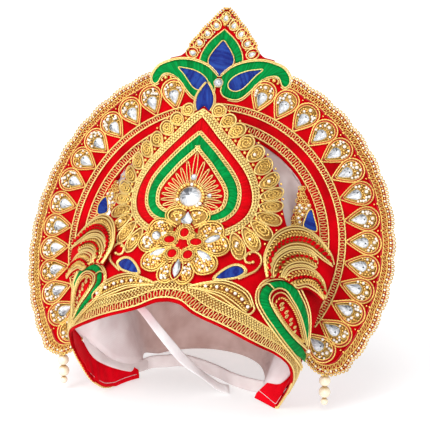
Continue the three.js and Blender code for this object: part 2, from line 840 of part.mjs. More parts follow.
add('cap_lining', 'white', between(
  (i, j) => capPoint(i, j, 0),
  (i, j) => capPoint(i, j, -CLOTH),
  capAround,
  CAP_ROWS,
  true,
));

// Strap: a ribbon on edge across the floor of the opening.
const strapLine = new THREE.CatmullRomCurve3(STRAP_ROUTE.map(({ x, y }) => new THREE.Vector3(x, y, 0)));
const STRAP_STEPS = 28;
function strapPoint(i, j, offset) {
  const t = i / STRAP_STEPS;
  const point = strapLine.getPointAt(t);
  const run = strapLine.getTangentAt(t);
  return new THREE.Vector3(point.x - run.y * offset, point.y + run.x * offset, j * STRAP.height);
}
add('back_strap', 'white', between(
  (i, j) => strapPoint(i, j, STRAP.thickness / 2),
  (i, j) => strapPoint(i, j, -STRAP.thickness / 2),
  STRAP_STEPS,
  1,
));

// Tie ribbon: a flat section carried along its route, always level from side to side.
class LevelRibbon extends THREE.CatmullRomCurve3 {
  computeFrenetFrames(steps) {
    const frames = { tangents: [], normals: [], binormals: [] };
    for (let i = 0; i <= steps; i++) {
      const run = this.getTangentAt(i / steps);
      const side = run.clone().cross(new THREE.Vector3(0, 0, 1)).normalize();
      frames.tangents.push(run);
      frames.normals.push(side);
      frames.binormals.push(run.clone().cross(side));
    }
    return frames;
  }
}
const ribbonLine = new LevelRibbon(
  RIBBON_ROUTE.map(({ x, y, z }) => new THREE.Vector3(x - ORIGIN.x, y - ORIGIN.y, z - ORIGIN.z)),
);
const ribbonSection = new THREE.Shape();
ribbonSection.absellipse(0, 0, RIBBON.half, RIBBON.thick, 0, Math.PI * 2);
add('tie_ribbon', 'white', new THREE.ExtrudeGeometry(ribbonSection, {
  steps: RIBBON.steps,
  extrudePath: ribbonLine,
  curveSegments: 4,
}));

// ---- laces ----

function ring(inner, outer, start, end, step, lift = GAP, height = TRIM) {
  const angles = [];
  for (let a = start; a < end - 0.01; a += step) angles.push(a);
  angles.push(end);
  const at = (level) => (i, j) => {
    const angle = angles[i];
    const radius = j ? outer(Math.abs(angle)) : inner(Math.abs(angle));
    return onDiscRing(angle, radius, level);
  };
  return between(at(lift + height), at(lift), angles.length - 1, 1);
}
add('halo_outer_lace', 'gold', ring(
  () => OUTER_LACE.inner,
  () => OUTER_LACE.outer,
  -OUTER_LACE.end,
  OUTER_LACE.end,
  4,
));
add('halo_inner_lace', 'gold', ring(
  () => INNER_LACE.inner,
  () => INNER_LACE.outer,
  -INNER_LACE.end,
  INNER_LACE.end,
  4,
));
for (const { name, sign } of SIDES) {
  const scalloped = (angle) => {
    const phase = ((angle - EDGE_TRIM.start) / EDGE_TRIM.pitch) * Math.PI;
    return discRim(angle) + EDGE_TRIM.outside - EDGE_TRIM.scallop * (1 - Math.abs(Math.sin(phase)));
  };
  add(`halo_edge_trim_${name}`, 'gold', ring(
    (angle) => Math.min(discRim(angle) - EDGE_TRIM.inside, 137),
    scalloped,
    sign > 0 ? EDGE_TRIM.start : -EDGE_TRIM.end,
    sign > 0 ? EDGE_TRIM.end : -EDGE_TRIM.start,
    EDGE_TRIM.pitch / 4,
  ));
}

const laceRise = through(LOWER_LACE_DEPTH, 'angle', 'rise');
const LACE_STEPS = 76;
const LACE_ROWS = 5;
const LACE_EASE = 0.2; // the lace bridges the hollow at the foot of the crest
function lacePoint(i, j, lift) {
  const angle = LOWER_LACE_END * (-1 + (2 * i) / LACE_STEPS);
  const side = Math.abs(angle);
  const z = bandLowZ(side) + LOWER_LACE_EDGE + (laceRise(side) * j) / LACE_ROWS;
  return onBandAngle(angle, z, lift);
}
add('band_lower_lace', 'gold', between(
  (i, j) => lacePoint(i, j, GAP + TRIM),
  (i, j) => lacePoint(i, j, GAP + LACE_EASE),
  LACE_STEPS,
  LACE_ROWS,
));

// ---- disc ornaments ----

let count = 0;
for (const { sign } of [...SIDES].reverse()) {
  const order = sign < 0 ? [...TEARDROPS].reverse() : TEARDROPS;
  for (const { angle, radius } of order) {
    count += 1;
    const turn = radians(sign * angle);
    const outline = [
      ...TEARDROP_OUTLINE.map(({ out, side }) => [radius + out, side]),
      ...TEARDROP_OUTLINE.slice(1, -1).map(({ out, side }) => [radius + out, -side]).reverse(),
    ].map(([out, side]) => [
      out * Math.sin(turn) + side * Math.cos(turn),
      out * Math.cos(turn) - side * Math.sin(turn),
    ]);
    const centre = [radius * Math.sin(turn), radius * Math.cos(turn)];
    const name = `halo_teardrop_${String(count).padStart(2, '0')}`;
    add(name, 'gold', patch(onDisc, outline, centre, { rings: 1, dome: 1.2 }));
  }
}

function halves(rows, across = 'along', up = 'up') {
  const right = rows.map((row) => [row[across], row[up]]);
  const left = right.filter(([a]) => a > 0).map(([a, b]) => [-a, b]).reverse();
  return [...right, ...left];
}
add('finial_petals', 'green', patch(
  onDisc,
  halves(PETAL_OUTLINE, 'across'),
  [PETAL_CENTRE.across, PETAL_CENTRE.up],
  { rings: 1, dome: 1 },
));
for (const { name, sign } of SIDES) {
  add(`finial_paisley_${name}`, 'green', strip(
    onDisc,
    FINIAL_PAISLEY.map((row) => [sign * row.across, row.up]),
    FINIAL_PAISLEY.map((row) => [sign * row.across2, row.up2]),
    18,
  ));
}

// ---- crest ornaments ----

function archStrip(outer, inner, steps, rows = 1) {
  const a = arch(outer);
  const b = arch(inner);
  const runA = [...smoothRun(a.left, steps), ...smoothRun(a.right, steps).slice(1)];
  const runB = [...smoothRun(b.left, steps), ...smoothRun(b.right, steps).slice(1)];
  const at = (lift) => (i, j) => {
    const t = j / rows;
    return onBand(runA[i][0] + (runB[i][0] - runA[i][0]) * t, runA[i][1] + (runB[i][1] - runA[i][1]) * t, lift);
  };
  return between(at(GAP + TRIM), at(GAP), 2 * steps, rows);
}
add('crest_outer_braid', 'gold', archStrip(BRAID_OUTER, BRAID_INNER, 20));
add('crest_red_arch', 'red', archStrip(RED_OUTER, RED_INNER, 18));
add('crest_green_arch', 'green', archStrip(GREEN_OUTER, GREEN_INNER, 16));
add('crest_ray_field', 'gold', patch(
  onBand,
  halves(RAY_FIELD),
  [FIELD_CENTRE.along, FIELD_CENTRE.up],
  { rings: 2, height: FIELD_RISE, dome: 0 },
));
const stoneOutline = [];
for (let i = 0; i < STONE.sides; i++) {
  const turn = (2 * Math.PI * i) / STONE.sides;
  stoneOutline.push([STONE.radius * Math.sin(turn), STONE.up + STONE.radius * Math.cos(turn)]);
}
add('crest_centre_stone', 'stone', patch(
  onBand,
  stoneOutline,
  [0, STONE.up],
  { rings: 1, base: 2 * GAP + FIELD_RISE, height: 1.4, dome: STONE.height - 1.4 },
));
for (const { name, sign } of SIDES) {
  add(`crest_border_${name}`, 'gold', strip(
    onBand,
    BORDER_OUTER.map((row) => [sign * row.along, row.up]),
    BORDER_INNER.map((row) => [sign * row.along, row.up]),
    30,
    2,
  ));
}
add('crest_top_leaf', 'blue', patch(onBand, halves(TOP_LEAF), [TOP_LEAF_CENTRE.along, TOP_LEAF_CENTRE.up], { rings: 1 }));
add('rosette', 'gold', patch(
  onBand,
  halves(ROSETTE),
  [ROSETTE_CENTRE.along, ROSETTE_CENTRE.up],
  { rings: 3, base: 2 * GAP + TRIM, dome: 1 },
));

// ---- band ornaments ----

for (const { name, sign } of SIDES) {
  add(`band_leaf_${name}`, 'blue', patch(
    onBand,
    BAND_LEAF.map((row) => [sign * row.along, row.up]),
    [sign * BAND_LEAF_CENTRE.along, BAND_LEAF_CENTRE.up],
    { rings: 1 },
  ));
  for (const [piece, rows, finish] of [['long_paisley', LONG_PAISLEY, 'gold'], ['side_paisley', SIDE_PAISLEY, 'green']]) {
    add(`${piece}_${name}`, finish, strip(
      onBand,
      rows.map((row) => [sign * row.along, row.up]),
      rows.map((row) => [sign * row.along2, row.up2]),
      20,
      2,
      2 * GAP + TRIM,
    ));
  }
  const sheet = wingSheet(sign);
  add(`wing_${name}`, 'gold', strip(
    sheet,
    WING_SHAPE.map((row) => [row.out, row.z]),
    WING_SHAPE.map((row) => [row.out2, row.z2]),
    18,
    3,
    WING.lift,
    WING.thickness,
  ));
}

// ---- pearls ----

for (const { name, sign } of SIDES) {
  const profile = [new THREE.Vector2(0, PEARL_BEADS.at(-1).z - PEARL_BEADS.at(-1).radius)];
  for (const { z, radius } of [...PEARL_BEADS].reverse()) {
    for (let k = 1; k <= 5; k++) {
      const turn = (Math.PI * k) / 6;
      profile.push(new THREE.Vector2(radius * Math.sin(turn), z - radius * Math.cos(turn)));
    }
    profile.push(new THREE.Vector2(PEARLS.thread, z + radius));
  }
  profile.push(new THREE.Vector2(PEARLS.thread, PEARLS.top), new THREE.Vector2(0, PEARLS.top));
  const string = new THREE.LatheGeometry(profile, 14);
  string.rotateX(Math.PI / 2);
  string.translate(sign * PEARLS.x - ORIGIN.x, PEARLS.y - ORIGIN.y, -ORIGIN.z);
  add(`pearl_drop_${name}`, 'pearl', string);
}

export default crown;
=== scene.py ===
"""A mukut crown: red padded cloth, gold cord embroidery, satin leaves, crystals and pearls."""

import math

import bpy
import numpy as np
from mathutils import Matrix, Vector


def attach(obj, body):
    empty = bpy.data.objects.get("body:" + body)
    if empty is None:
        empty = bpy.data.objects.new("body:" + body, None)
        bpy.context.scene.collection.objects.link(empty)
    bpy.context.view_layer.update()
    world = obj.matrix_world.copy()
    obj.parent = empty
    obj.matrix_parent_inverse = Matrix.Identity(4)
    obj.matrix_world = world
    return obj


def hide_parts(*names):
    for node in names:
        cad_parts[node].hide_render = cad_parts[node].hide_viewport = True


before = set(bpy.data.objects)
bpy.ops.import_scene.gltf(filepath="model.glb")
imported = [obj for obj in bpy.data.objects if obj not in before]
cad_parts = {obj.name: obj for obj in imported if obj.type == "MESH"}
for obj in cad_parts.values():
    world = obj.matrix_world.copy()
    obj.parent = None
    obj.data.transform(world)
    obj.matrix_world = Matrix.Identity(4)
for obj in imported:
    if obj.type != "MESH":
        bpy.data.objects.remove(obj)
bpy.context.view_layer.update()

# Tables are in millimetres, as an embroiderer's pattern is drawn; meshes are in metres.
MM = 0.001
ORIGIN = np.array([0.0, 0.93, 0.0])
HANDS = (("right", 1), ("left", -1))
chance = np.random.default_rng(11)


# ---- lines ----


def through(table, x=0, y=1):
    """A curve through a table's rows: between two rows it is a cubic whose end slopes are the
    harmonic mean of the neighbouring rises, or flat at a turning point, so it never overshoots."""
    xs, ys = np.array(table, float)[:, x], np.array(table, float)[:, y]
    rise = np.diff(ys) / np.diff(xs)
    before, after = rise[:-1], rise[1:]
    same_way = before * after > 0
    total = np.where(same_way, before + after, 1.0)
    slope = np.concatenate([rise[:1], np.where(same_way, 2 * before * after / total, 0), rise[-1:]])

    def at(value):
        i = np.clip(np.searchsorted(xs, value, side="right") - 1, 0, len(xs) - 2)
        span = xs[i + 1] - xs[i]
        t = np.clip((value - xs[i]) / span, 0, 1)
        early = t * (1 - t) ** 2 * span * slope[i]
        late = t * t * (t - 1) * span * slope[i + 1]
        return ys[i] + (ys[i + 1] - ys[i]) * smoothstep(t) + early + late

    return at


def smoothstep(t):
    t = np.clip(t, 0, 1)
    return t * t * (3 - 2 * t)


def lengths(line):
    """How far each point is along a broken line."""
    return np.concatenate([[0], np.cumsum(np.linalg.norm(np.diff(line, axis=0), axis=1))])


def spread(line, count, closed=False):
    """The same broken line with its points at even distances."""
    length = lengths(line)
    at = np.linspace(0, length[-1], count, endpoint=not closed)
    return np.stack([np.interp(at, length, line[:, k]) for k in range(line.shape[1])], -1)


def curve(points, count, closed=False):
    """A smooth line through the points, at even distances: a cubic from each point to the
    next, whose slopes weigh the neighbouring spans by the square roots of their lengths."""
    p = np.asarray(points, float)
    if closed:
        p = np.concatenate([p[-1:], p, p[:2]])
    else:
        p = np.concatenate([2 * p[:1] - p[1:2], p, 2 * p[-1:] - p[-2:-1]])
    d = np.maximum(np.linalg.norm(np.diff(p, axis=0), axis=1), 1e-6)[:, None] ** 0.5
    p0, p1, p2, p3 = p[:-3], p[1:-2], p[2:-1], p[3:]
    d0, d1, d2 = d[:-2], d[1:-1], d[2:]
    m1 = ((p1 - p0) / d0 - (p2 - p0) / (d0 + d1) + (p2 - p1) / d1) * d1
    m2 = ((p2 - p1) / d1 - (p3 - p1) / (d1 + d2) + (p3 - p2) / d2) * d1
    t = np.linspace(0, 1, 16, endpoint=False)[None, :, None]
    p1, p2, m1, m2 = p1[:, None], p2[:, None], m1[:, None], m2[:, None]
    cubic = (2 * p1 - 2 * p2 + m1 + m2) * t**3 + (3 * p2 - 3 * p1 - 2 * m1 - m2) * t**2 + m1 * t + p1
    return spread(np.concatenate([cubic.reshape(-1, p.shape[1]), p[-2][None]]), count, closed)


def reach(line):
    """How long a broken line is."""
    return float(lengths(np.asarray(line, float))[-1])


def handed(points, side):
    """A pattern for the right side, 1, or for the left one, -1."""
    return np.asarray(points, float) * [side, 1]


def folded(half, other_half=(-1, 1)):
    """A closed outline from one half, whose ends are on the middle line."""
    half = np.asarray(half, float)
    return np.concatenate([half, half[-2:0:-1] * other_half])


def unit(vectors):
    """The same directions with a length of one."""
    return vectors / np.maximum(np.linalg.norm(vectors, axis=-1, keepdims=True), 1e-12)


def full_turn(count):
    """Even angles all the way round."""
    return np.linspace(0, 2 * np.pi, count, endpoint=False)


def crosswise(vectors):
    """Flat vectors turned by a right angle, to their right."""
    return np.stack([vectors[..., 1], -vectors[..., 0]], -1)


def sideways(line):
    """Unit vectors square to a flat line, on its left."""
    return -crosswise(unit(np.gradient(line, axis=0)))


def beside(points, offset):
    """A line beside another at a distance, which is positive on its left."""
    line = curve(points, max(8, int(reach(points))))
    return line + offset * sideways(line)


def ringed(middle, size, count):
    """Places round a middle from its top on, at a radius or at two half-axes."""
    turn = full_turn(count)
    return np.array(middle) + np.array(size) * np.stack([np.sin(turn), np.cos(turn)], -1)


def ellipse(middle, long, wide, count):
    """Places round a middle, by its two half-axis vectors."""
    turn = full_turn(count)[:, None]
    return middle + long * np.cos(turn) + wide * np.sin(turn)


def shrunk(outline, share, middle):
    middle = np.asarray(middle, float)
    return middle + (np.asarray(outline, float) - middle) * share


def inside(points, outline):
    """Which points a closed outline holds: a ray to one side crosses it an odd number of times."""
    a, b = outline, np.roll(outline, -1, 0)
    x, y = points[:, None, 0], points[:, None, 1]
    spans = (a[None, :, 1] > y) != (b[None, :, 1] > y)
    rise = np.where(b[:, 1] == a[:, 1], 1e-9, b[:, 1] - a[:, 1])
    crossing = a[None, :, 0] + (y - a[None, :, 1]) / rise[None] * (b[:, 0] - a[:, 0])[None]
    return (spans & (x < crossing)).sum(1) % 2 == 1


def scattered(outline, gap, wobble, margin=0.0):
    """Spots that fill an outline: the corners of a grid of triangles, each moved a little,
    kept where they are inside and at least a margin from the edge."""
    low, high = outline.min(0) - gap, outline.max(0) + gap
    x, y = np.meshgrid(np.arange(low[0], high[0], gap), np.arange(low[1], high[1], gap * 0.87))
    x = x + (np.arange(len(x)) % 2)[:, None] * gap / 2
    spots = np.stack([x, y], -1).reshape(-1, 2)
    spots += chance.uniform(-wobble, wobble, spots.shape) * gap
    edge = spread(np.concatenate([outline, outline[:1]]), 4 * len(outline))
    away = np.linalg.norm(spots[:, None] - edge[None], axis=-1).min(1)
    return spots[inside(spots, outline) & (away > margin)]


# ---- surfaces ----

TWIST_ANGLE, TWIST_TOP, TWIST_DROP, TWIST_Y = math.radians(-6), 135, 75, -30
# height, radius and centre of the band's circle
BAND_CIRCLES = [
    (0, 68, -45), (50, 90, -30), (90, 99, 6), (100, 100, 20), (125, 89, 32.5), (150, 76, 40.5),
    (180, 70.5, 57.5), (215, 66, 78), (235, 64, 90),
]
# distance up the crest's slope, height
SLOPE = [
    (-107.6, 0), (-81.2, 25), (-56.1, 50), (-25.2, 75), (8.6, 100), (43, 125), (75.7, 150), (113.2, 180),
    (156.2, 215), (180.6, 235),
]
band_radius = through(BAND_CIRCLES)
band_centre = through(BAND_CIRCLES, y=2)
slope_height = through(SLOPE)
DISC_HEIGHT, DISC_BEND, DISC_LEAN = 116.08, 400.0, math.radians(30)
WING_ANGLE, WING_BEND = math.radians(45), 200.0
CLOTH = 2.0
# the band's lower edge by angle, and the upper edge point that each of its points is joined to
BAND_EDGES = [
    (0, 95, 0, 214.5), (4, 94.3, 5, 214.5), (12, 89, 15, 212.5), (17, 86, 22.5, 206.5),
    (22, 83.3, 29, 198.5), (27, 80.3, 35.3, 190), (32, 77, 42.7, 181), (38, 72.8, 48, 171),
    (43, 69.4, 52.6, 161), (48, 66, 54, 147), (53, 62.7, 53, 137), (58, 58.8, 55, 129),
    (63, 54.4, 61, 122), (68.5, 48.8, 71, 111), (73.5, 42.8, 77, 97), (79, 35.5, 79, 82),
    (84.5, 28, 80.5, 63), (91, 20, 82.5, 46), (98, 10.8, 90, 33), (106, 0, 107, 26), (116, 0, 118, 18),
    (127, 0, 127, 10),
]
band_low_z = through(BAND_EDGES)
band_high = through(BAND_EDGES, y=2)
band_high_z = through(BAND_EDGES, y=3)
# the left flap hangs lower than the right one: angle and height of its lower edge
LEFT_FOOT = through(
    [
        (66, 51.4), (70.6, 41.8), (73.6, 34.6), (77, 27), (79.5, 20.6), (82.6, 14.5), (87.9, 8.6),
        (97.1, 2.3), (107.8, 0), (127, 0),
    ]
)


FOLD_START, FOLD_RUN, FOLD_DEPTH = 103, 35, 20


def foot_z(degrees):
    """Height of the band's lower edge at an angle, less than nothing on the left."""
    size = np.abs(degrees)
    return np.where(
        degrees < -66, np.minimum(band_low_z(size), LEFT_FOOT(np.maximum(size, 66))), band_low_z(size),
    )


def flap_fold(flat):
    """Where the band's pattern lies in degrees, and how far it is lifted. Past its start the
    right flap's fold goes inwards by depth s s / (s + 0.12), with s the share of its run."""
    share = np.clip((flat[..., 0] - FOLD_START) / FOLD_RUN, 0, 1)
    degrees = np.minimum(flat[..., 0], FOLD_START) + 12 * share**1.3
    return np.stack([degrees, flat[..., 1]], -1), -FOLD_DEPTH * share**2 / (share + 0.12)


# the disc: angle from its top, radius of its hole, radius of its rim
DISC_RADII = [
    (0, 86.5, 190.3), (2.1, 86.5, 184), (3.9, 86.5, 177.5), (6, 86.5, 171.5), (7.2, 86.5, 166.8),
    (9.2, 86.5, 161.5), (10.8, 86.5, 155.5), (13, 86.5, 152.5), (16, 86.5, 152.8), (18, 86.5, 140),
    (30, 86.5, 139), (60, 86.5, 139), (90, 86.5, 139), (104, 87.5, 139), (113, 92, 139), (122, 98, 138.5),
    (128, 101, 136.8), (132, 113, 130),
]
disc_hole = through(DISC_RADII)
disc_rim = through(DISC_RADII, y=2)


def twisted(x, y, z):
    """Turns a point about the upright by an angle that grows towards the floor."""
    turn = TWIST_ANGLE * smoothstep((TWIST_TOP - z) / TWIST_DROP)
    y = y - TWIST_Y
    c, s = np.cos(turn), np.sin(turn)
    return np.stack([x * c - y * s, x * s + y * c + TWIST_Y, z + 0 * x], -1)


def band_ring(angle, z):
    """Band surface by angle and height: a circle whose radius and centre change with height."""
    radius = band_radius(z)
    return twisted(radius * np.sin(angle), band_centre(z) - radius * np.cos(angle), z)


def band(along, up):
    """Band surface by distance along the cloth from its middle and distance up the slope."""
    z = slope_height(up)
    return band_ring(along / band_radius(z), z)


def band_degrees(angle, z):
    return band_ring(np.radians(angle), z)


def disc(across, up):
    """Disc surface: a shallow cylinder about an upright line, leaned back about its middle."""
    sag = DISC_BEND * (1 - np.cos(across / DISC_BEND))
    y = up * math.sin(DISC_LEAN) + sag * math.cos(DISC_LEAN)
    z = DISC_HEIGHT + up * math.cos(DISC_LEAN) - sag * math.sin(DISC_LEAN)
    return np.stack([DISC_BEND * np.sin(across / DISC_BEND), y, z], -1)


def ray(angle, radius):
    """A place on the disc's pattern by its angle from the top in degrees and its radius."""
    angle, radius = np.broadcast_arrays(np.radians(angle), np.asarray(radius, float))
    return np.stack([radius * np.sin(angle), radius * np.cos(angle)], -1)


def wing_sheet(side):
    """Wing surface on one side: it leaves the band along its tangent and bends back slowly.
    The first coordinate is outwards on the right side and inwards on the left one."""

    def sheet(out, z):
        out = side * out
        run = WING_BEND * np.sin(out / WING_BEND)
        radius = band_radius(z) - WING_BEND * (1 - np.cos(out / WING_BEND))
        x = radius * math.sin(WING_ANGLE) + run * math.cos(WING_ANGLE)
        y = band_centre(z) - radius * math.cos(WING_ANGLE) + run * math.sin(WING_ANGLE)
        return twisted(side * x, y, z)

    return sheet


def on(surface, flat, lift):
    """Places in metres on a surface, raised along its outward normal, and those normals.
    The normal is the cross product of the directions that the two coordinates run in."""
    a, b = flat[..., 0], flat[..., 1]
    step = 0.05
    along = surface(a + step, b) - surface(a - step, b)
    up = surface(a, b + step) - surface(a, b - step)
    normal = unit(np.cross(along, up))
    lift = np.broadcast_to(np.asarray(lift, float), a.shape)
    return (surface(a, b) + normal * lift[..., None] - ORIGIN) * MM, normal


# ---- meshes ----


def grid_faces(rows, columns, wrap_rows, wrap_columns=False):
    """Quads of a grid of points numbered row by row."""
    i = np.arange(rows if wrap_rows else rows - 1)
    j = np.arange(columns if wrap_columns else columns - 1)
    i, j = np.meshgrid(i, j, indexing="ij")
    n, m = (i + 1) % rows, (j + 1) % columns
    return np.stack([i * columns + j, i * columns + m, n * columns + m, n * columns + j], -1).reshape(-1, 4)


def shape(points, quads, tris, lay):
    """A mesh in numbers. Each point also has where it lies: distance along its strand in
    millimetres, share of the way around or across it, and a number of the strand's own."""
    return [points.reshape(-1, 3), quads.reshape(-1, 4), tris.reshape(-1, 3), lay.reshape(-1, 3)]


def joined(parts):
    """One shape from many, which may be lists of shapes themselves."""
    flat = []
    for one in parts:
        flat.extend([one] if isinstance(one[0], np.ndarray) else [joined(one)])
    starts = np.cumsum([0] + [len(one[0]) for one in flat])
    return [
        np.concatenate([one[0] for one in flat]),
        np.concatenate([one[1] + s for one, s in zip(flat, starts)]),
        np.concatenate([one[2] + s for one, s in zip(flat, starts)]),
        np.concatenate([one[3] for one in flat]),
    ]


def repeated(points, quads, tris, lay):
    """Many copies of one mesh, whose points are rows of an array: faces are numbered on."""
    count, each = points.shape[:2]
    shift = (np.arange(count) * each)[:, None, None]
    return shape(points, quads[None] + shift, tris[None] + shift, lay)


def fans(n, m):
    """Triangles that close the first and the last of n rings of m points with two added points."""
    j = np.arange(m)
    k = (j + 1) % m
    first = np.stack([np.full(m, n * m), k, j], -1)
    last = np.stack([np.full(m, n * m + 1), (n - 1) * m + j, (n - 1) * m + k], -1)
    return np.concatenate([first, last])


def skinned(rings, lay, closed=False):
    """Skins runs of closed rings, an array of (runs, rings, points, 3). The ends of a run
    are closed with a fan unless its last ring joins the first."""
    count, n, m = rings.shape[:3]
    quads = grid_faces(n, m, closed, True)
    rings_flat, lay_flat = rings.reshape(count, n * m, 3), lay.reshape(count, n * m, 3)
    if closed:
        return repeated(rings_flat, quads, np.zeros((0, 3), int), lay_flat)
    points = np.concatenate([rings_flat, rings[:, :1].mean(2), rings[:, -1:].mean(2)], 1)
    lays = np.concatenate([lay_flat, lay[:, :1].mean(2), lay[:, -1:].mean(2)], 1)
    return repeated(points, quads, fans(n, m), lays)


def outward(one):
    """Turns a closed shape's faces over if its volume, summed over its faces, is negative."""
    p, q, t = one[0] - one[0].mean(0), one[1], one[2]
    triangles = np.concatenate([q[:, [0, 1, 2]], q[:, [0, 2, 3]], t])
    a, b, c = p[triangles[:, 0]], p[triangles[:, 1]], p[triangles[:, 2]]
    if np.einsum("ij,ij->i", a, np.cross(b, c)).sum() < 0:
        one[1], one[2] = q[:, ::-1], t[:, ::-1]
    return one


def sweep(centre, normal, radius, sides=6, closed=False, flat=1.0):
    """Cords along lines, (runs, points, 3) or one line: circles square to the line, which may
    be flattened, numbered so that the first point is under the cord. Normals say which way is up."""
    if centre.ndim == 2:
        centre, normal = centre[None], normal[None]
    if closed:
        tangent = np.roll(centre, -1, 1) - np.roll(centre, 1, 1)
    else:
        tangent = np.gradient(centre, axis=1)
    side = unit(np.cross(tangent, normal))
    rise = unit(np.cross(side, tangent))
    turn = (full_turn(sides) - np.pi / 2)[::-1]
    size = (np.broadcast_to(np.asarray(radius, float), centre.shape[:2]) * MM)[..., None, None]
    around = np.cos(turn)[:, None] * side[:, :, None] + flat * np.sin(turn)[:, None] * rise[:, :, None]
    step = np.linalg.norm(np.diff(centre, axis=1), axis=-1)
    run = np.concatenate([np.zeros((len(centre), 1)), np.cumsum(step, 1)], 1) / MM
    rings = centre[:, :, None] + size * around
    share = np.linspace(0, 1, sides)[::-1]
    own = chance.random(len(centre))[:, None, None]
    lay = np.stack(np.broadcast_arrays(run[..., None], share[None, None], own), -1)
    return skinned(rings, lay, closed)


def cord(surface, path, radius=0.5, lift=0.0, spacing=0.9, sides=6, closed=False, bent=False):
    """A cord laid on a surface along a pattern path, resting at its own radius above a lift.
    A bent path keeps its corners."""
    path = np.asarray(path, float)
    count = max(5, int((reach(path) + (reach(path[[0, -1]]) if closed else 0)) / spacing) + 1)
    line = spread(path, count, closed) if bent else curve(path, count, closed)
    return sweep(*on(surface, line, lift + np.max(radius)), radius, sides, closed)


def purl(surface, path, radius, lift, pitch):
    """Bead-like purl wire along a path: a cord whose radius swells and narrows as a cosine of
    the distance along it, four rings to a turn."""
    turns = max(2, int(reach(path) / pitch))
    line = curve(path, 4 * turns + 1)
    swell = radius * (0.84 + 0.16 * np.cos(np.pi / 2 * np.arange(len(line)) + np.pi))
    return sweep(*on(surface, line, lift + radius), swell)


def loops(surface, centres, long, wide, radius=0.35, lift=0.0, points=12, sides=5, turns=1.0, tight=0.0):
    """Loops of cord all made at once: ellipses about the centres with two half-axis vectors.
    With more than one turn each is a coil that closes in by the tight share."""
    whole = turns == 1.0
    t = np.linspace(0, 1, int(points * turns), endpoint=not whole)
    angle = 2 * np.pi * turns * t
    size = (1 - tight * t)[None, :, None]
    flat = centres[:, None] + size * (
        long[:, None] * np.cos(angle)[None, :, None] + wide[:, None] * np.sin(angle)[None, :, None]
    )
    return sweep(*on(surface, flat, lift + radius), radius, sides, whole)


def track(path, pitch, closed=False):
    """Even places along a path, and unit vectors to its left and along it."""
    line = curve(path, max(3, int(reach(path) / pitch) + 1), closed)
    square = sideways(line)
    return line, square, crosswise(square)


def chain(surface, path, half, pitch, radius, thin, lift):
    """A row of narrow loops standing across a path, as in a chain-stitched lace."""
    line, square, along = track(path, pitch)
    return loops(surface, line, square * half, along * pitch * thin, radius, lift)


def ball(segments, rings):
    """A unit ball's points and faces: rings at even angles from its foot to its top."""
    tilt = np.linspace(0, np.pi, rings + 2)[1:-1]
    tilt, turn = np.meshgrid(tilt, full_turn(segments), indexing="ij")
    points = np.stack([np.sin(tilt) * np.cos(turn), np.sin(tilt) * np.sin(turn), -np.cos(tilt)], -1)
    points = np.concatenate([points.reshape(-1, 3), [[0, 0, -1], [0, 0, 1]]])
    return points, grid_faces(rings, segments, False, True), fans(rings, segments)


def balls(centre, radius, normal, segments, rings, tall=1.0):
    """Balls at places in metres, with their poles along the normals."""
    points, quads, tris = ball(segments, rings)
    radius = np.broadcast_to(np.asarray(radius, float), len(centre))
    helper = np.where(np.abs(normal[:, :1]) < 0.9, [[1.0, 0, 0]], [[0, 1.0, 0]])
    side = unit(np.cross(normal, helper))
    axes = np.stack([side, np.cross(normal, side), normal * tall], 1)
    placed = centre[:, None] + (points[None] @ axes) * (radius * MM)[:, None, None]
    height = np.broadcast_to(points[None, :, 2], placed.shape[:2])
    own = np.broadcast_to(chance.random(len(centre))[:, None], placed.shape[:2])
    lay = np.stack([height * radius[:, None], 0.5 + 0.5 * height, own], -1)
    return repeated(placed, quads, tris, lay)


def beads(surface, spots, radius, lift, segments=8, rings=5, tall=1.0):
    """Balls sitting on a surface at spots of the pattern."""
    spots = np.atleast_2d(np.asarray(spots, float))
    rise = lift + np.broadcast_to(np.asarray(radius, float), len(spots)) * tall
    centre, normal = on(surface, spots, rise)
    return balls(centre, radius, normal, segments, rings, tall)


def grains(surface, spots, along, long, wide, lift, high=None):
    """Short stitches with rounded ends: balls drawn out along the surface."""
    spots = np.asarray(spots, float)
    along = unit(np.broadcast_to(np.asarray(along, float), spots.shape))
    high = wide if high is None else high
    centre, normal = on(surface, spots, lift + high)
    ahead, behind = [on(surface, spots + along * step, lift + high)[0] for step in (0.5, -0.5)]
    run = unit(ahead - behind)
    side = unit(np.cross(normal, run))
    rise = np.cross(run, side)
    points, quads, tris = ball(6, 3)
    axes = np.stack([side * wide, rise * high, run * long], 1) * MM
    placed = centre[:, None] + points[None] @ axes
    share = np.broadcast_to(0.5 + 0.5 * points[None, :, 1], placed.shape[:2])
    own = np.broadcast_to(chance.random(len(centre))[:, None], placed.shape[:2])
    lay = np.stack([np.broadcast_to(points[None, :, 2] * long, placed.shape[:2]), share, own], -1)
    return repeated(placed, quads, tris, lay)


def rope(surface, path, wide, pitch, lift, slant=0.55, closed=False):
    """A thick twisted rope: a row of slanting stitches that overlap one another."""
    line, square, along = track(path, pitch, closed)
    return grains(surface, line, along + square * slant, 0.66 * pitch, wide, lift)


def ears(surface, path, width, pitch, slant, thick, lift):
    """A plait as two rows of slanting stitches that meet along its middle, like an ear of wheat."""
    line, square, along = track(path, pitch)
    rows = []
    for hand in (1, -1):
        spots = line + square * (hand * width / 4) + along * (hand * pitch / 4)
        rows.append(
            grains(
                surface, spots, along * hand + square * slant,
                0.25 * width / math.sin(math.atan(slant)) * 1.02, thick, lift, 0.7 * thick,
            )
        )
    return joined(rows)


def strip(surface, edge_a, edge_b, lift):
    """A flat ribbon of backing between two edges."""
    return padded(surface, edge_a, edge_b, lift, 0.12, 2.0, 3, (0, 0))


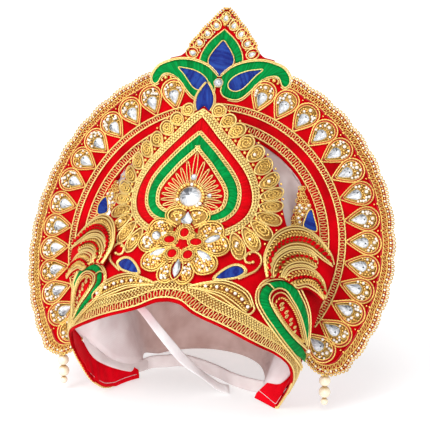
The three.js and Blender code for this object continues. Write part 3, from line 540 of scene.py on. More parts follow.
def padded(surface, edge_a, edge_b, lift=0.3, puff=1.6, spacing=1.4, across=9, blunt=(1, 1)):
    """A stuffed strip between two edges: half an ellipse across, which sinks to the cloth
    where the strip narrows and, at a blunt end, over the last half width."""
    count = max(8, int(max(reach(edge_a), reach(edge_b)) / spacing))
    a, b = curve(edge_a, count), curve(edge_b, count)
    t = np.linspace(0, 1, across)
    run = lengths((a + b) / 2)
    width = np.linalg.norm(a - b, axis=1)
    near = np.minimum(
        run / blunt[0] if blunt[0] else 9 + run, (run[-1] - run) / blunt[1] if blunt[1] else 9 + run,
    )
    near = np.clip(near / (0.5 * width.max()), 0.02, 1)
    ease = np.sqrt(near * (2 - near)) * np.clip(width / (0.6 * width.max()), 0.05, 1)
    flat = a[:, None] + (b - a)[:, None] * t[None, :, None]
    dome = np.sqrt(np.maximum(1 - (2 * t - 1) ** 2, 0))
    upper, _ = on(surface, flat, lift + puff * ease[:, None] * dome[None])
    lower, _ = on(surface, flat[:, ::-1], lift - 0.25)
    rings = np.concatenate([upper, lower], 1)[None]
    share = np.concatenate([t, t[::-1]])
    own = chance.random()
    lay = np.stack(np.broadcast_arrays(run[None, :, None], share[None, None], own), -1)
    return outward(skinned(rings, lay))


def cushion(surface, outline, lift, puff, rings, centre=None, spacing=1.2, grain=(1, 0)):
    """A stuffed leaf: rings of its outline drawn in to a centre, and raised as a quarter
    circle from the edge. It is laid along its grain for the stitches."""
    edge = curve(outline, max(12, int(reach(outline) / spacing)), True)
    middle = edge.mean(0) if centre is None else np.asarray(centre, float)
    t = np.concatenate([[1.0], np.cos(np.linspace(0, np.pi / 2 - 0.1, rings))])
    rise = lift + puff * np.sqrt(1 - np.minimum(t, 1) ** 2)
    rise[0] = lift - 0.25
    flat = middle + (edge - middle)[None] * t[:, None, None]
    here, _ = on(surface, flat, rise[:, None])
    run = (flat - middle) @ unit(np.asarray(grain, float))
    lay = np.stack(np.broadcast_arrays(run, t[:, None], chance.random()), -1)
    return outward(skinned(here[None], lay[None]))


def wall(front, back, lay, around=False):
    """A sheet with a thickness: its front and back grids of points, joined along their edges."""
    n, m = front.shape[:2]
    size = n * m
    faces = grid_faces(n, m, around)
    ids = np.arange(size).reshape(n, m)
    if around:
        loops_of_edge = [np.append(ids[:, 0], ids[0, 0])[::-1], np.append(ids[:, -1], ids[0, -1])]
    else:
        loops_of_edge = [np.concatenate([ids[0], ids[1:, -1], ids[-1, -2::-1], ids[-2::-1, 0]])]
    strips = [np.stack([e[1:], e[:-1], e[:-1] + size, e[1:] + size], -1) for e in loops_of_edge]
    quads = np.concatenate([faces, faces[:, ::-1] + size, *strips])
    points = np.concatenate([front.reshape(-1, 3), back.reshape(-1, 3)])
    return outward(shape(points, quads, np.zeros((0, 3), int), np.concatenate([lay.reshape(-1, 3)] * 2)))


def grounded(points, least=0.0):
    """No point under the floor, or lower than a cord's own radius above it."""
    points[..., 2] = np.maximum(points[..., 2], least)
    return points


def layer(surface, places, front, back, lay=None):
    """A sheet of cloth between two lifts off a surface, laid on its own pattern or another."""
    lay = places if lay is None else lay
    faces = [grounded(on(surface, places, lift)[0]) for lift in (front, back)]
    return wall(*faces, np.concatenate([lay, 0 * lay[..., :1]], -1))


def gem(surface, outline, centre, height, lift, table, belt=0.78):
    """A cut stone: its outline, a middle ring turned by half a facet, a flat table, and
    three-sided facets between them."""
    edge, middle = np.asarray(outline, float), np.asarray(centre, float)
    n = len(edge)
    half = (edge + np.roll(edge, -1, 0)) / 2
    flats = [
        edge, edge, shrunk(half, belt, middle), shrunk(edge, table, middle), middle[None], middle[None],
    ]
    heights = np.array([0, 0.25, 0.72, 1, 1, 0]) * height - [0.2, 0, 0, 0, 0, 0.2]
    points, _ = on(surface, np.concatenate(flats), lift + np.repeat(heights, [n, n, n, n, 1, 1]))
    j = np.arange(n)
    foot, rim, mid, top = [j + n * row for row in range(4)]
    next_foot, next_rim, next_mid, next_top = [(j + 1) % n + n * row for row in range(4)]
    facets = [
        (foot, next_foot, next_rim), (foot, next_rim, rim), (rim, next_rim, mid),
        (mid, next_rim, next_mid),
    ]
    facets += [(mid, next_mid, next_top), (mid, next_top, top), (top, next_top, np.full(n, 4 * n))]
    facets += [(next_foot[::-1], foot[::-1], np.full(n, 4 * n + 1))]
    tris = np.concatenate([np.stack(corners, -1) for corners in facets])
    lay = np.stack(np.broadcast_arrays(np.zeros(len(points)), 0.5, chance.random()), -1)
    return outward(shape(points, np.zeros((0, 4), int), tris, lay))


def new_object(name, data):
    """A new object in the scene, at the origin."""
    thing = bpy.data.objects.new(name, data)
    bpy.context.scene.collection.objects.link(thing)
    return thing


def make(name, parts, finish, stands_for=(), slot=None, facets=None):
    """Puts shapes into one mesh object that rides on the crown. A grey for each of its faces
    makes them flat facets."""
    points, quads, tris, lay = joined(parts)
    mesh = bpy.data.meshes.new(name)
    mesh.vertices.add(len(points))
    mesh.vertices.foreach_set("co", points.astype(np.float32).ravel())
    mesh.loops.add(quads.size + tris.size)
    mesh.loops.foreach_set("vertex_index", np.concatenate([quads.ravel(), tris.ravel()]).astype(np.int32))
    mesh.polygons.add(len(quads) + len(tris))
    starts = np.concatenate([np.arange(len(quads)) * 4, quads.size + np.arange(len(tris)) * 3])
    mesh.polygons.foreach_set("loop_start", starts.astype(np.int32))
    mesh.polygons.foreach_set("use_smooth", np.full(len(starts), facets is None))
    mesh.attributes.new("lay", "FLOAT_VECTOR", "POINT").data.foreach_set(
        "vector", lay.astype(np.float32).ravel(),
    )
    if facets is not None:
        mesh.attributes.new("facet", "FLOAT", "FACE").data.foreach_set("value", facets.astype(np.float32))
    mesh.update(calc_edges=True)
    mesh.validate()
    mesh.materials.append(finish)
    piece = new_object(name, mesh)
    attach(piece, "root")
    slot = slot or SLOT_OF[finish.name]
    if stands_for:
        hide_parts(*stands_for)
    return piece


# ---- finishes ----


class Wiring:
    """Short ways to add nodes to a tree and to link them."""

    def __init__(self, tree):
        self.tree = tree

    def node(self, kind, **settings):
        node = self.tree.nodes.new(kind if kind.startswith("NodeGroup") else f"ShaderNode{kind}")
        for key, value in settings.items():
            setattr(node, key, value)
        return node

    def feed(self, socket, value):
        """Links another socket to one, or sets its number or colour."""
        if isinstance(value, bpy.types.NodeSocket):
            self.tree.links.new(value, socket)
        else:
            socket.default_value = (*value, 1) if isinstance(value, tuple) and len(value) == 3 else value

    def sum(self, operation, *values):
        """The output of a Math node on sockets or numbers."""
        node = self.node("Math", operation=operation)
        for socket, value in zip(node.inputs, values):
            self.feed(socket, value)
        return node.outputs[0]

    def mix(self, share, low, high):
        """A colour between two by a share."""
        node = self.node("Mix", data_type="RGBA")
        for number, value in ((0, share), (6, low), (7, high)):
            self.feed(node.inputs[number], value)
        return node.outputs[2]

    def span(self, value, low, high, to_low=0.0, to_high=1.0):
        """A value's place between two limits, carried over to two others."""
        node = self.node("MapRange")
        for socket, one in zip(node.inputs, (value, low, high, to_low, to_high)):
            self.feed(socket, one)
        return node.outputs[0]

    def noise(self, vector, scale, detail=2.0):
        node = self.node("TexNoise")
        for label, value in (("Vector", vector), ("Scale", scale), ("Detail", detail)):
            self.feed(node.inputs[label], value)
        return node.outputs["Fac"]

    def split(self, vector):
        """The three parts of a vector."""
        node = self.node("SeparateXYZ")
        self.feed(node.inputs[0], vector)
        return node.outputs[0], node.outputs[1], node.outputs[2]

    def lay(self):
        """The strand coordinates of a mesh: run, share and own number."""
        return self.split(self.node("Attribute", attribute_name="lay").outputs["Vector"])

    def place(self):
        return self.node("TexCoord").outputs["Object"]


def effect(name, numbers, results):
    """A shader node group with named numbers in and out: its wiring and both ends."""
    w = Wiring(bpy.data.node_groups.new(name, "ShaderNodeTree"))
    for label, value in numbers.items():
        w.tree.interface.new_socket(
            label, in_out="INPUT", socket_type="NodeSocketFloat",
        ).default_value = value
    for label in results:
        w.tree.interface.new_socket(label, in_out="OUTPUT", socket_type="NodeSocketFloat")
    return w, w.node("NodeGroupInput").outputs, w.node("NodeGroupOutput").inputs


def make_twist():
    """Twisted thread: a wave of the distance along a cord plus the share of the way round."""
    w, numbers, results = effect("twisted thread", {"Turns": 0.8}, ("Height", "Groove Shade", "Own"))
    run, share, own = w.lay()
    turn = w.sum("ADD", w.sum("MULTIPLY", run, numbers["Turns"]), share)
    height = w.sum("ABSOLUTE", w.sum("SINE", w.sum("MULTIPLY", turn, 2 * math.pi)))
    w.feed(results["Height"], height)
    # painted shade: a share that is highest in the grooves between the turns
    w.feed(results["Groove Shade"], w.span(height, 0.0, 0.55, 1.0, 0.0))
    w.feed(results["Own"], own)
    return w.tree


def make_stitches():
    """Satin stitches: fine waves of the distance along the grain, and long soft bands of noise stretched
    across it that give bumps and a painted sheen."""
    w, numbers, results = effect("satin stitches", {"Streak": 1.0}, ("Height", "Streaks"))
    run, share, own = w.lay()
    stretched = w.node("CombineXYZ")
    w.feed(stretched.inputs[0], w.sum("MULTIPLY", run, numbers["Streak"]))
    w.feed(stretched.inputs[1], w.sum("MULTIPLY", share, 0.9))
    w.feed(stretched.inputs[2], w.sum("MULTIPLY", own, 50.0))
    sheen_bands = w.noise(stretched.outputs[0], 1.0, 3.0)
    fine = w.sum("SINE", w.sum("MULTIPLY", run, 14.0))
    w.feed(results["Height"], w.sum("ADD", w.sum("MULTIPLY", fine, 0.25), sheen_bands))
    w.feed(results["Streaks"], w.span(sheen_bands, 0.35, 0.65))
    return w.tree


def make_weave():
    """Plain weave: the product of two waves across each other, on soft uneven noise."""
    w, numbers, results = effect("plain weave", {"Threads": 2400.0}, ("Height", "Cloud"))
    x, y, z = w.split(w.place())
    slant = w.sum("MULTIPLY", y, 0.7)
    waves = [w.sum("MULTIPLY", w.sum("ADD", one, slant), numbers["Threads"]) for one in (x, z)]
    crossed = w.sum("MULTIPLY", *[w.sum("SINE", wave) for wave in waves])
    cloud = w.noise(w.place(), 60.0)
    w.feed(results["Height"], w.sum("ADD", crossed, w.sum("MULTIPLY", cloud, 2.0)))
    w.feed(results["Cloud"], w.span(cloud, 0.3, 0.7))
    return w.tree


TWIST, STITCHES, WEAVE = make_twist(), make_stitches(), make_weave()


class Finish(Wiring):
    """A material with plain socket values, its wiring and its shader's sockets."""

    def __init__(self, name, colour, roughness=0.5, metallic=0.0, **constants):
        self.material = bpy.data.materials.new(name)
        self.material.use_nodes = True
        super().__init__(self.material.node_tree)
        self.shader = self.tree.nodes["Principled BSDF"].inputs
        constants |= {"base_color": colour, "roughness": roughness, "metallic": metallic}
        for label, value in constants.items():
            self.feed(self.shader[label.replace("_", " ").title().replace("Ior", "IOR")], value)

    def shared(self, group, **numbers):
        """What a shared effect puts out for its numbers."""
        node = self.node("Group", node_tree=group)
        for label, value in numbers.items():
            node.inputs[label].default_value = value
        return node.outputs

    def covered(self, colour, height, strength=0.35, distance=0.0001):
        """The material, once its colour and its bumps are laid on."""
        self.feed(self.shader["Base Color"], colour)
        node = self.node("Bump")
        for label, value in (("Strength", strength), ("Distance", distance), ("Height", height)):
            self.feed(node.inputs[label], value)
        self.feed(self.shader["Normal"], node.outputs[0])
        return self.material


def thread_finish(name, light, dark, roughness, turns, metallic=0.85):
    """Metal or silk thread wound in a twist: painted shade darkens it in its grooves, and each length has
    its own tone.
    """
    w = Finish(name, light, roughness, metallic)
    twist = w.shared(TWIST, Turns=turns)
    # painted shade in the grooves, mixed with each length's own tone
    share = w.sum("ADD", w.sum("MULTIPLY", twist["Groove Shade"], 0.65), w.sum("MULTIPLY", twist["Own"], 0.35))
    return w.covered(w.mix(share, light, dark), twist["Height"], 0.8, 0.0002)


def bead_finish(name, light, dark, roughness, metallic, **constants):
    """Small beads that differ a little from one another, with painted shade darkening each towards its foot
    on the cloth.
    """
    w = Finish(name, light, roughness, metallic, **constants)
    _, height, own = w.lay()
    # painted shade towards the foot, and each bead's own tone
    share = w.sum(
        "ADD", w.sum("MULTIPLY", own, 0.6), w.sum("MULTIPLY", w.sum("SUBTRACT", 1.0, height), 0.4),
    )
    return w.covered(w.mix(share, light, dark), w.noise(w.place(), 1800.0), 0.15)


def satin_finish(name, light, dark, roughness, streak=1.0, **constants):
    w = Finish(name, light, roughness, **constants)
    stitches = w.shared(STITCHES, Streak=streak)
    # painted sheen: the noise bands lighten the colour across the stitches
    return w.covered(w.mix(stitches["Streaks"], dark, light), stitches["Height"], 0.5, 0.0003)


def cloth_finish(name, light, dark, roughness, threads=2400.0, **constants):
    w = Finish(name, light, roughness, **constants)
    weave = w.shared(WEAVE, Threads=threads)
    return w.covered(w.mix(weave["Cloud"], dark, light), weave["Height"])


def cut_finish(name):
    """Foil-backed cut glass: the grey of each facet, between white and slate, is painted reflection and
    shade.
    """
    w = Finish(name, (0.9, 0.92, 0.95), 0.1, specular_ior_level=0.6)
    shade = w.node("Attribute", attribute_name="facet").outputs["Fac"]
    w.feed(w.shader["Base Color"], w.mix(shade, (0.03, 0.035, 0.045), (0.74, 0.76, 0.79)))
    return w.material


def pearl_finish(name):
    """Cream pearls, a little uneven, with painted shade: tan towards their top and bottom, where the thread
    goes through.
    """
    w = Finish(name, (0.9, 0.8, 0.6), 0.2, coat_weight=0.5)
    _, height, _ = w.lay()
    # painted shade: tan over each pearl's top and bottom
    painted_shade_poles = w.span(w.sum("ABSOLUTE", w.sum("SUBTRACT", height, 0.5)), 0.26, 0.5)
    cream = w.mix(w.noise(w.place(), 500.0), (0.95, 0.86, 0.7), (0.84, 0.72, 0.5))
    return w.covered(w.mix(painted_shade_poles, cream, (0.56, 0.34, 0.12)), w.noise(w.place(), 700.0), 0.25, 0.0004)


def lining_finish(name):
    """Thin white cotton with painted shade: pink-grey on the inside of its back, where that faces the
    front, greyer where the cap stands high behind the crest, and darkest over its top.
    """
    w = Finish(name, (0.86, 0.78, 0.77), 0.85, specular_ior_level=0.1)
    weave = w.shared(WEAVE, Threads=3000.0)
    _, y, z = w.split(w.place())
    _, turned_back, _ = w.split(w.node("NewGeometry").outputs["Normal"])
    # painted shade: the inside of the back is darkened to a pink-grey where it faces the front
    painted_shade_inside = w.sum("MULTIPLY", w.span(y, -0.01, 0.06), w.span(turned_back, 0.5, -0.2))
    pale = w.mix(weave["Cloud"], (0.78, 0.66, 0.66), (0.9, 0.82, 0.82))
    rose_shade = w.mix(weave["Cloud"], (0.56, 0.37, 0.33), (0.74, 0.55, 0.51))
    # painted shade for where the cap stands high behind the crest
    high_shade = w.mix(weave["Cloud"], (0.52, 0.42, 0.4), (0.66, 0.57, 0.55))
    # painted shadow for the cap's top
    dark = w.mix(weave["Cloud"], (0.26, 0.15, 0.14), (0.36, 0.24, 0.23))
    low, high = w.mix(painted_shade_inside, pale, rose_shade), w.mix(w.span(z, 0.15, 0.185), high_shade, dark)
    return w.covered(w.mix(w.span(z, 0.07, 0.115), low, high), weave["Height"])


def ribbon_finish(name):
    """White cotton tape that turns pink towards its top, where it leaves the lining."""
    w = Finish(name, (0.9, 0.86, 0.86), 0.8, specular_ior_level=0.15)
    weave = w.shared(WEAVE, Threads=3000.0)
    _, _, z = w.split(w.place())
    white = w.mix(weave["Cloud"], (0.82, 0.78, 0.79), (0.96, 0.94, 0.94))
    return w.covered(w.mix(w.span(z, 0.06, 0.088), white, (0.72, 0.36, 0.38)), weave["Height"])


GOLD = thread_finish("gold cord", (0.98, 0.68, 0.2), (0.4, 0.18, 0.02), roughness=0.34, turns=0.22)
PALE_GOLD = thread_finish(
    "pale gold cord", (0.98, 0.76, 0.3), (0.5, 0.28, 0.05), roughness=0.38, metallic=0.75, turns=0.2,
)
RED_THREAD = thread_finish(
    "red thread", (0.6, 0.0, 0.01), (0.22, 0.0, 0.004), metallic=0.0, roughness=0.6, turns=0.25,
)
WHITE_THREAD = thread_finish(
    "white thread", (0.9, 0.86, 0.84), (0.6, 0.5, 0.5), metallic=0.0, roughness=0.6, turns=0.25,
)
# painted shade: dark brown sheets laid under the plaits, laces and wing leaves, so that their gaps look
# shadowed
SHADE_BACKING = cloth_finish(
    "brown shade backing", (0.44, 0.2, 0.04), (0.26, 0.06, 0.01), roughness=0.8, specular_ior_level=0.05,
)
GOLD_BACKING = cloth_finish(
    "gold backing", (0.6, 0.36, 0.1), (0.26, 0.12, 0.02), roughness=0.6, specular_ior_level=0.1,
)
WINE_BACKING = cloth_finish(
    "wine backing", (0.5, 0.001, 0.006), (0.3, 0.0, 0.003), roughness=0.8, specular_ior_level=0.05,
)
GOLD_BEAD = bead_finish("gold bead", (1.0, 0.64, 0.2), (0.62, 0.3, 0.04), 0.22, 0.8)
WHITE_BEAD = bead_finish("white bead", (0.92, 0.86, 0.78), (0.66, 0.54, 0.42), 0.2, 0.0, coat_weight=0.3)
PEARL = pearl_finish("cream pearl")
SEQUIN = bead_finish("silver sequin", (0.92, 0.8, 0.62), (0.44, 0.3, 0.16), 0.22, 0.5)
RED_CLOTH = cloth_finish(
    "red cloth", (0.56, 0.0, 0.004), (0.3, 0.0, 0.002), roughness=0.7, specular_ior_level=0.03,
)
# painted light: a brighter red than the band's cloth, so that the inside of the flaps, which lies in shade,
# looks lit
LIT_FLAP_LINING = cloth_finish(
    "lit flap lining", (0.88, 0.001, 0.012), (0.6, 0.0, 0.006), roughness=0.6, specular_ior_level=0.05,
)
RED_SATIN = satin_finish("red satin", (0.62, 0.0, 0.004), (0.42, 0.0, 0.002), 0.5, specular_ior_level=0.05)
GREEN_SATIN = satin_finish(
    "green satin", (0.0, 0.28, 0.055), (0.0, 0.14, 0.022), 0.45, specular_ior_level=0.04,
)
BLUE_SATIN = satin_finish(
    "blue satin", (0.014, 0.055, 0.3), (0.003, 0.01, 0.15), 0.4, streak=0.4, specular_ior_level=0.12,
)
WHITE_CLOTH = cloth_finish(
    "white cotton", (0.86, 0.78, 0.77), (0.74, 0.64, 0.63), roughness=0.85, threads=3000.0,
    specular_ior_level=0.1,
)
CUT_GLASS = cut_finish("cut glass")
LINING = lining_finish("cotton lining")
RIBBON_CLOTH = ribbon_finish("cotton tape")
SLOTS = {
    "gold_cord": (GOLD, PALE_GOLD, SHADE_BACKING, GOLD_BACKING, GOLD_BEAD),
    "red_cloth": (RED_CLOTH, RED_SATIN, RED_THREAD, WINE_BACKING, LIT_FLAP_LINING),
    "green_satin": (GREEN_SATIN,),
    "blue_satin": (BLUE_SATIN,),
    "white_cloth": (LINING, RIBBON_CLOTH, WHITE_CLOTH, WHITE_THREAD),
    "crystal": (CUT_GLASS, WHITE_BEAD, SEQUIN),
    "pearl": (PEARL,),
}
SLOT_OF = {one.name: slot for slot, finishes in SLOTS.items() for one in finishes}


# ---- camera and tie ribbon ----

camera_data = bpy.data.cameras.new("camera")
camera_data.lens, camera_data.sensor_width, camera_data.clip_start = 105, 36, 0.05
CAMERA_TURN, CAMERA_DROP = math.radians(12.5), math.radians(14)
camera = new_object("camera", camera_data)
camera.location = (0.2073, -0.88693, 0.3615)
forward = math.cos(CAMERA_DROP)
facing = (-math.sin(CAMERA_TURN) * forward, math.cos(CAMERA_TURN) * forward, -math.sin(CAMERA_DROP))
camera.rotation_euler = Vector(facing).to_track_quat("-Z", "Y").to_euler()
bpy.context.scene.camera = camera

RIBBON_ROUTE = [
    (-34.3, -75.1, 91), (-31, -69, 85), (-26.5, -62, 76), (-22, -56, 66), (-14, -47, 50), (-5, -38, 34),
    (4, -29, 22), (11, -22, 13), (17, -18, 6.8), (21, -15.8, 4.4), (25, -14.2, 3.4),
]
RIBBON_HALF, RIBBON_THICK = 4, 0.45
ribbon_line = (curve(RIBBON_ROUTE, 40) - ORIGIN) * MM
down = 0.62 * smoothstep(np.linspace(-0.9, 1.3, 40))[:, None]
level = (1 - down) * [0.35, -0.85, 0.4] + down * [0, 0, 1]
ribbon = make(
    "tie_ribbon_cotton",
    [sweep(ribbon_line, level, np.linspace(2.6, 4.7, 40), 16, flat=RIBBON_THICK / RIBBON_HALF * 1.6)],
    RIBBON_CLOTH,
    ["tie_ribbon"],
)
reach(ribbon_line)


# ---- the disc ----

angles = np.linspace(-133, 133, 355)
share = np.linspace(0, 1, 9)
radii = disc_hole(np.abs(angles))[:, None] + (
    disc_rim(np.abs(angles)) - disc_hole(np.abs(angles))
)[:, None] * share
places = ray(angles[:, None], radii)
make("disc_cloth", [layer(disc, places, 0, -CLOTH)], RED_CLOTH, ["halo_plate"])


def arc(radius, start, end, pitch=1):
    """A line at a radius of the disc, a number or a function of the angle's size."""
    angle = np.linspace(start, end, max(5, int(abs(end - start) * math.radians(120) / pitch)))
    return ray(angle, radius(np.abs(angle)) if callable(radius) else radius)


for name, inner, outer, end in [("inner", 89.2, 95.8, 97), ("outer", 103.6, 108.4, 123)]:
    middle = (inner + outer) / 2
    edging = [cord(disc, arc(r, -end, end), 0.62, 0.1) for r in (inner, outer)]
    lace_loops = chain(disc, arc(middle, -end, end), (outer - inner) / 2 - 0.6, 3.9, 0.34, 0.29, 0.1)
    backing = strip(disc, arc(outer, -end, end, 2), arc(inner, -end, end, 2), 0.02)
    make(f"disc_{name}_lace_backing", [backing], WINE_BACKING)
    make(f"disc_{name}_lace", edging + [lace_loops], PALE_GOLD, [f"halo_{name}_lace"])

TEARDROPS = [
    (16.9, 121.2), (25.6, 122.4), (34.2, 122.6), (42.8, 122.6), (51.2, 122.6), (59.5, 122.6),
    (68.2, 122.6), (77.3, 122.6), (85.8, 122.6), (94.3, 122.6), (102.7, 122.6), (111, 122.4),
    (119.6, 121.8), (127.4, 119.8),
]
TEARDROP_HALF = [
    (-14.2, 0), (-10.4, 3.2), (-5.5, 6.3), (-1, 8.7), (4, 9.7), (8.8, 8.4), (12.2, 4.9), (13.5, 0),
]
teardrop_angles = np.array(TEARDROPS)[:, 0]


def lobe(angle):
    """How far the edge swells: a half wave that peaks outside each teardrop."""
    phase = np.interp(np.abs(angle), teardrop_angles, np.arange(len(TEARDROPS)))
    return np.abs(np.cos(np.pi * phase)) ** 0.7


EDGE_START, EDGE_END = 23.4, 127
NET_INNER, NET_OUTER, PICOT_ROW = 136.6, 140.2, 144.0
# the edge's last stretch, which turns in under the lowest teardrop: angle, radius, and what
# each of them gains for every line further out
EDGE_TAIL = np.array([
    (129.5, 134.6, 0.5, 3.4), (131, 131, 0.9, 2.8), (131.9, 126, 1.1, 1.6), (131.8, 120, 1.1, 0.8),
    (130.9, 114.4, 1, 0.6),
])


def edge_line_at(radius, swell, row, side):
    """A line along the disc's scalloped edge and round its lower end."""
    along = arc(lambda a: radius + swell * lobe(a), EDGE_START, EDGE_END)
    tail = ray(EDGE_TAIL[:, 0] + row * EDGE_TAIL[:, 2], EDGE_TAIL[:, 1] + row * EDGE_TAIL[:, 3])
    return handed(np.concatenate([along, tail]), side)


for hand, side in HANDS:
    net_in = edge_line_at(NET_INNER, 0.6, 0, side)
    net_out = edge_line_at(NET_OUTER, 1.2, 1, side)
    picot_line = edge_line_at(PICOT_ROW, 1.8, 2, side)
    turns = int(reach(net_out) / 3.2)
    wave = np.linspace(0, turns, turns * 8 + 1)
    low, high = spread(net_in, len(wave)), spread(net_out, len(wave))
    swing = (0.5 + 0.5 * np.cos(2 * np.pi * wave))[:, None]
    net = cord(disc, low + (high - low) * swing, 0.42, 0.2, 0.7, 5, bent=True)
    backing = strip(disc, edge_line_at(143.4, 1.6, 1.9, side), edge_line_at(136, 0, -0.4, side), 0.02)
    make(f"edge_backing_{hand}", [backing], WINE_BACKING)
    row = spread(picot_line, int(reach(picot_line) / 3))
    picots = loops(disc, row, unit(row) * 1.2, crosswise(unit(row)), 0.5, 0, 10)
    make(
        f"edge_net_{hand}",
        [cord(disc, net_in, 0.5), cord(disc, net_out, 0.5), net, picots],
        GOLD,
        [f"halo_edge_trim_{hand}"],
    )
    row = spread(net_out, int(reach(net_out) / 2))
    row = row + 1.6 * unit(row)
    make(f"edge_sequins_{hand}", [beads(disc, row[::2], 1.12, 0.1, 8, 3, 0.6)], SEQUIN)
    make(f"edge_gold_beads_{hand}", [beads(disc, row[1::2], 0.75, 0.1, 7, 4)], GOLD_BEAD)
    red_line = net_out + 2.9 * unit(net_out)
    make(
        f"edge_red_line_{hand}",
        [cord(disc, red_line, 0.42, -0.3), cord(disc, net_in * 0.9915, 0.5, -0.2)],
        RED_THREAD,
    )


def teardrop(angle, radius):
    """Turns places of one teardrop, outwards and sideways, into places on the disc."""
    out = np.array([math.sin(math.radians(angle)), math.cos(math.radians(angle))])
    across = crosswise(out)

    def to_disc(places):
        places = np.atleast_2d(np.asarray(places, float))
        return (radius + places[:, :1]) * out + places[:, 1:] * across

    return to_disc


def painted_facet_light(count, angle, spread_out, dark=()):
    """Painted reflections and shade for a cut stone, a grey for each facet: bright towards one side, darker
    towards the other, uneven from facet to facet, with a few dark facets of its table as painted
    reflections."""
    turn = 2 * np.pi * np.arange(count) / count
    painted_belt_light = 0.64 + 1.2 * spread_out * np.cos(turn - angle)
    painted_facet_greys = [np.full(count, 0.5), np.full(count, 0.5)]
    painted_facet_greys += [painted_belt_light + chance.uniform(-0.32, 0.32, count) for _ in range(4)]
    table = 0.84 + 0.8 * spread_out * np.cos(turn - angle - 0.6) + chance.uniform(-0.2, 0.12, count)
    for one in dark:
        table[one % count] = 0.0
    painted_facet_greys += [table, np.full(count, 0.4)]
    return np.clip(np.concatenate(painted_facet_greys), 0.05, 1)


def make_stones(name, stones, painted_facet_greys, stands_for=()):
    make(name, stones, CUT_GLASS, stands_for, facets=np.concatenate(painted_facet_greys))


TEARDROP = folded(TEARDROP_HALF, (1, -1))
TEARDROP_MIDDLE = (1.5, 0)
PEAR_HALF = [(-8.6, 0), (-6.4, 1.5), (-3.8, 2.9), (-1.2, 3.9), (1.2, 3.8), (2.9, 2.3), (3.5, 0)]
PEAR = folded(PEAR_HALF, (1, -1))
crystals, crystal_painted_light, white_beads, amber_beads, red_rings, drop_pads = [], [], [], [], [], []
ordered = [(-1, t) for t in reversed(TEARDROPS)] + [(1, t) for t in TEARDROPS]
for number, (side, (angle, radius)) in enumerate(ordered, 1):
    to_disc = teardrop(side * angle, radius)
    cords = [
        cord(disc, to_disc(shrunk(TEARDROP, 0.955, TEARDROP_MIDDLE)), 0.62, 0.1, 1, closed=True),
        cord(disc, to_disc(shrunk(TEARDROP, 0.775, TEARDROP_MIDDLE)), 0.52, 0.1, 1, closed=True),
        cord(disc, to_disc(shrunk(PEAR, 1.08, (-2, 0))), 0.34, 0.1, 0.9, 5, closed=True),
    ]
    drop_pads.append(
        cushion(
            disc, to_disc(shrunk(TEARDROP, 0.74, TEARDROP_MIDDLE)), 0, 0.3, 2, to_disc([(1.5, 0)])[0],
            2.4,
        )
    )
    pearl_spot = to_disc([(7.3, chance.uniform(-0.5, 0.5))])
    out = to_disc([(1, 0)]) - to_disc([(0, 0)])
    across = to_disc([(0, 1)]) - to_disc([(0, 0)])
    cords.append(loops(disc, pearl_spot, out * 2, across * 2, 0.4, 0.4))
    make(f"teardrop_cords_{number:02d}", cords, GOLD, [f"halo_teardrop_{number:02d}"])
    red_rings.append(
        cord(disc, to_disc(shrunk(TEARDROP, 0.855, TEARDROP_MIDDLE)), 0.4, 0.2, 1, 5, closed=True)
    )
    crystals.append(gem(disc, to_disc(PEAR), to_disc([(0.2, 0)])[0], 2, 0.4, 0.42))
    # painted reflections: each crystal's facets are brighter towards a side that differs on the two halves
    # of the disc
    crystal_painted_light.append(
        painted_facet_light(len(PEAR), 0.9 + side * 0.4, 0.28, (one := chance.integers(3, 8), one + 1))
    )
    white_beads.append(beads(disc, pearl_spot, 1.45, 0.5))
    field = scattered(shrunk(TEARDROP, 0.72, TEARDROP_MIDDLE), 2.15, 0.16, 0.3)
    clear = (field[:, 0] > 3) | (np.abs(field[:, 1]) > 4.6 - 0.1 * field[:, 0])
    clear &= np.linalg.norm(field - [7.3, 0], axis=1) > 2.7
    clear &= ~inside(field, shrunk(PEAR, 1.25, (-2, 0)))
    field = field[clear]
    kind = chance.random(len(field))
    kinds = (
        (field[kind > 0.45], white_beads, 0.95, 1.3, 0.2),
        (field[kind <= 0.45], amber_beads, 0.8, 1.1, 0.1),
    )
    for spots, row, least, most, lift in kinds:
        if len(spots):
            row.append(beads(disc, to_disc(spots), chance.uniform(least, most, len(spots)), lift, 7, 4))
between = (teardrop_angles[1:-1] + teardrop_angles[2:]) / 2
between = ray(np.concatenate([between, -between]), 137.2)
amber_beads.append(beads(disc, between * 0.99, 1, 0.2))
amber_beads.append(beads(disc, between * 0.972, 0.75, 0.1))
make_stones("disc_crystals", crystals, crystal_painted_light)
make("teardrop_pads", drop_pads, GOLD_BACKING)
make("teardrop_red_rings", red_rings, RED_THREAD)
make("teardrop_white_beads", white_beads, WHITE_BEAD)
make("teardrop_amber_beads", amber_beads, GOLD_BEAD)


# ---- the finial ----

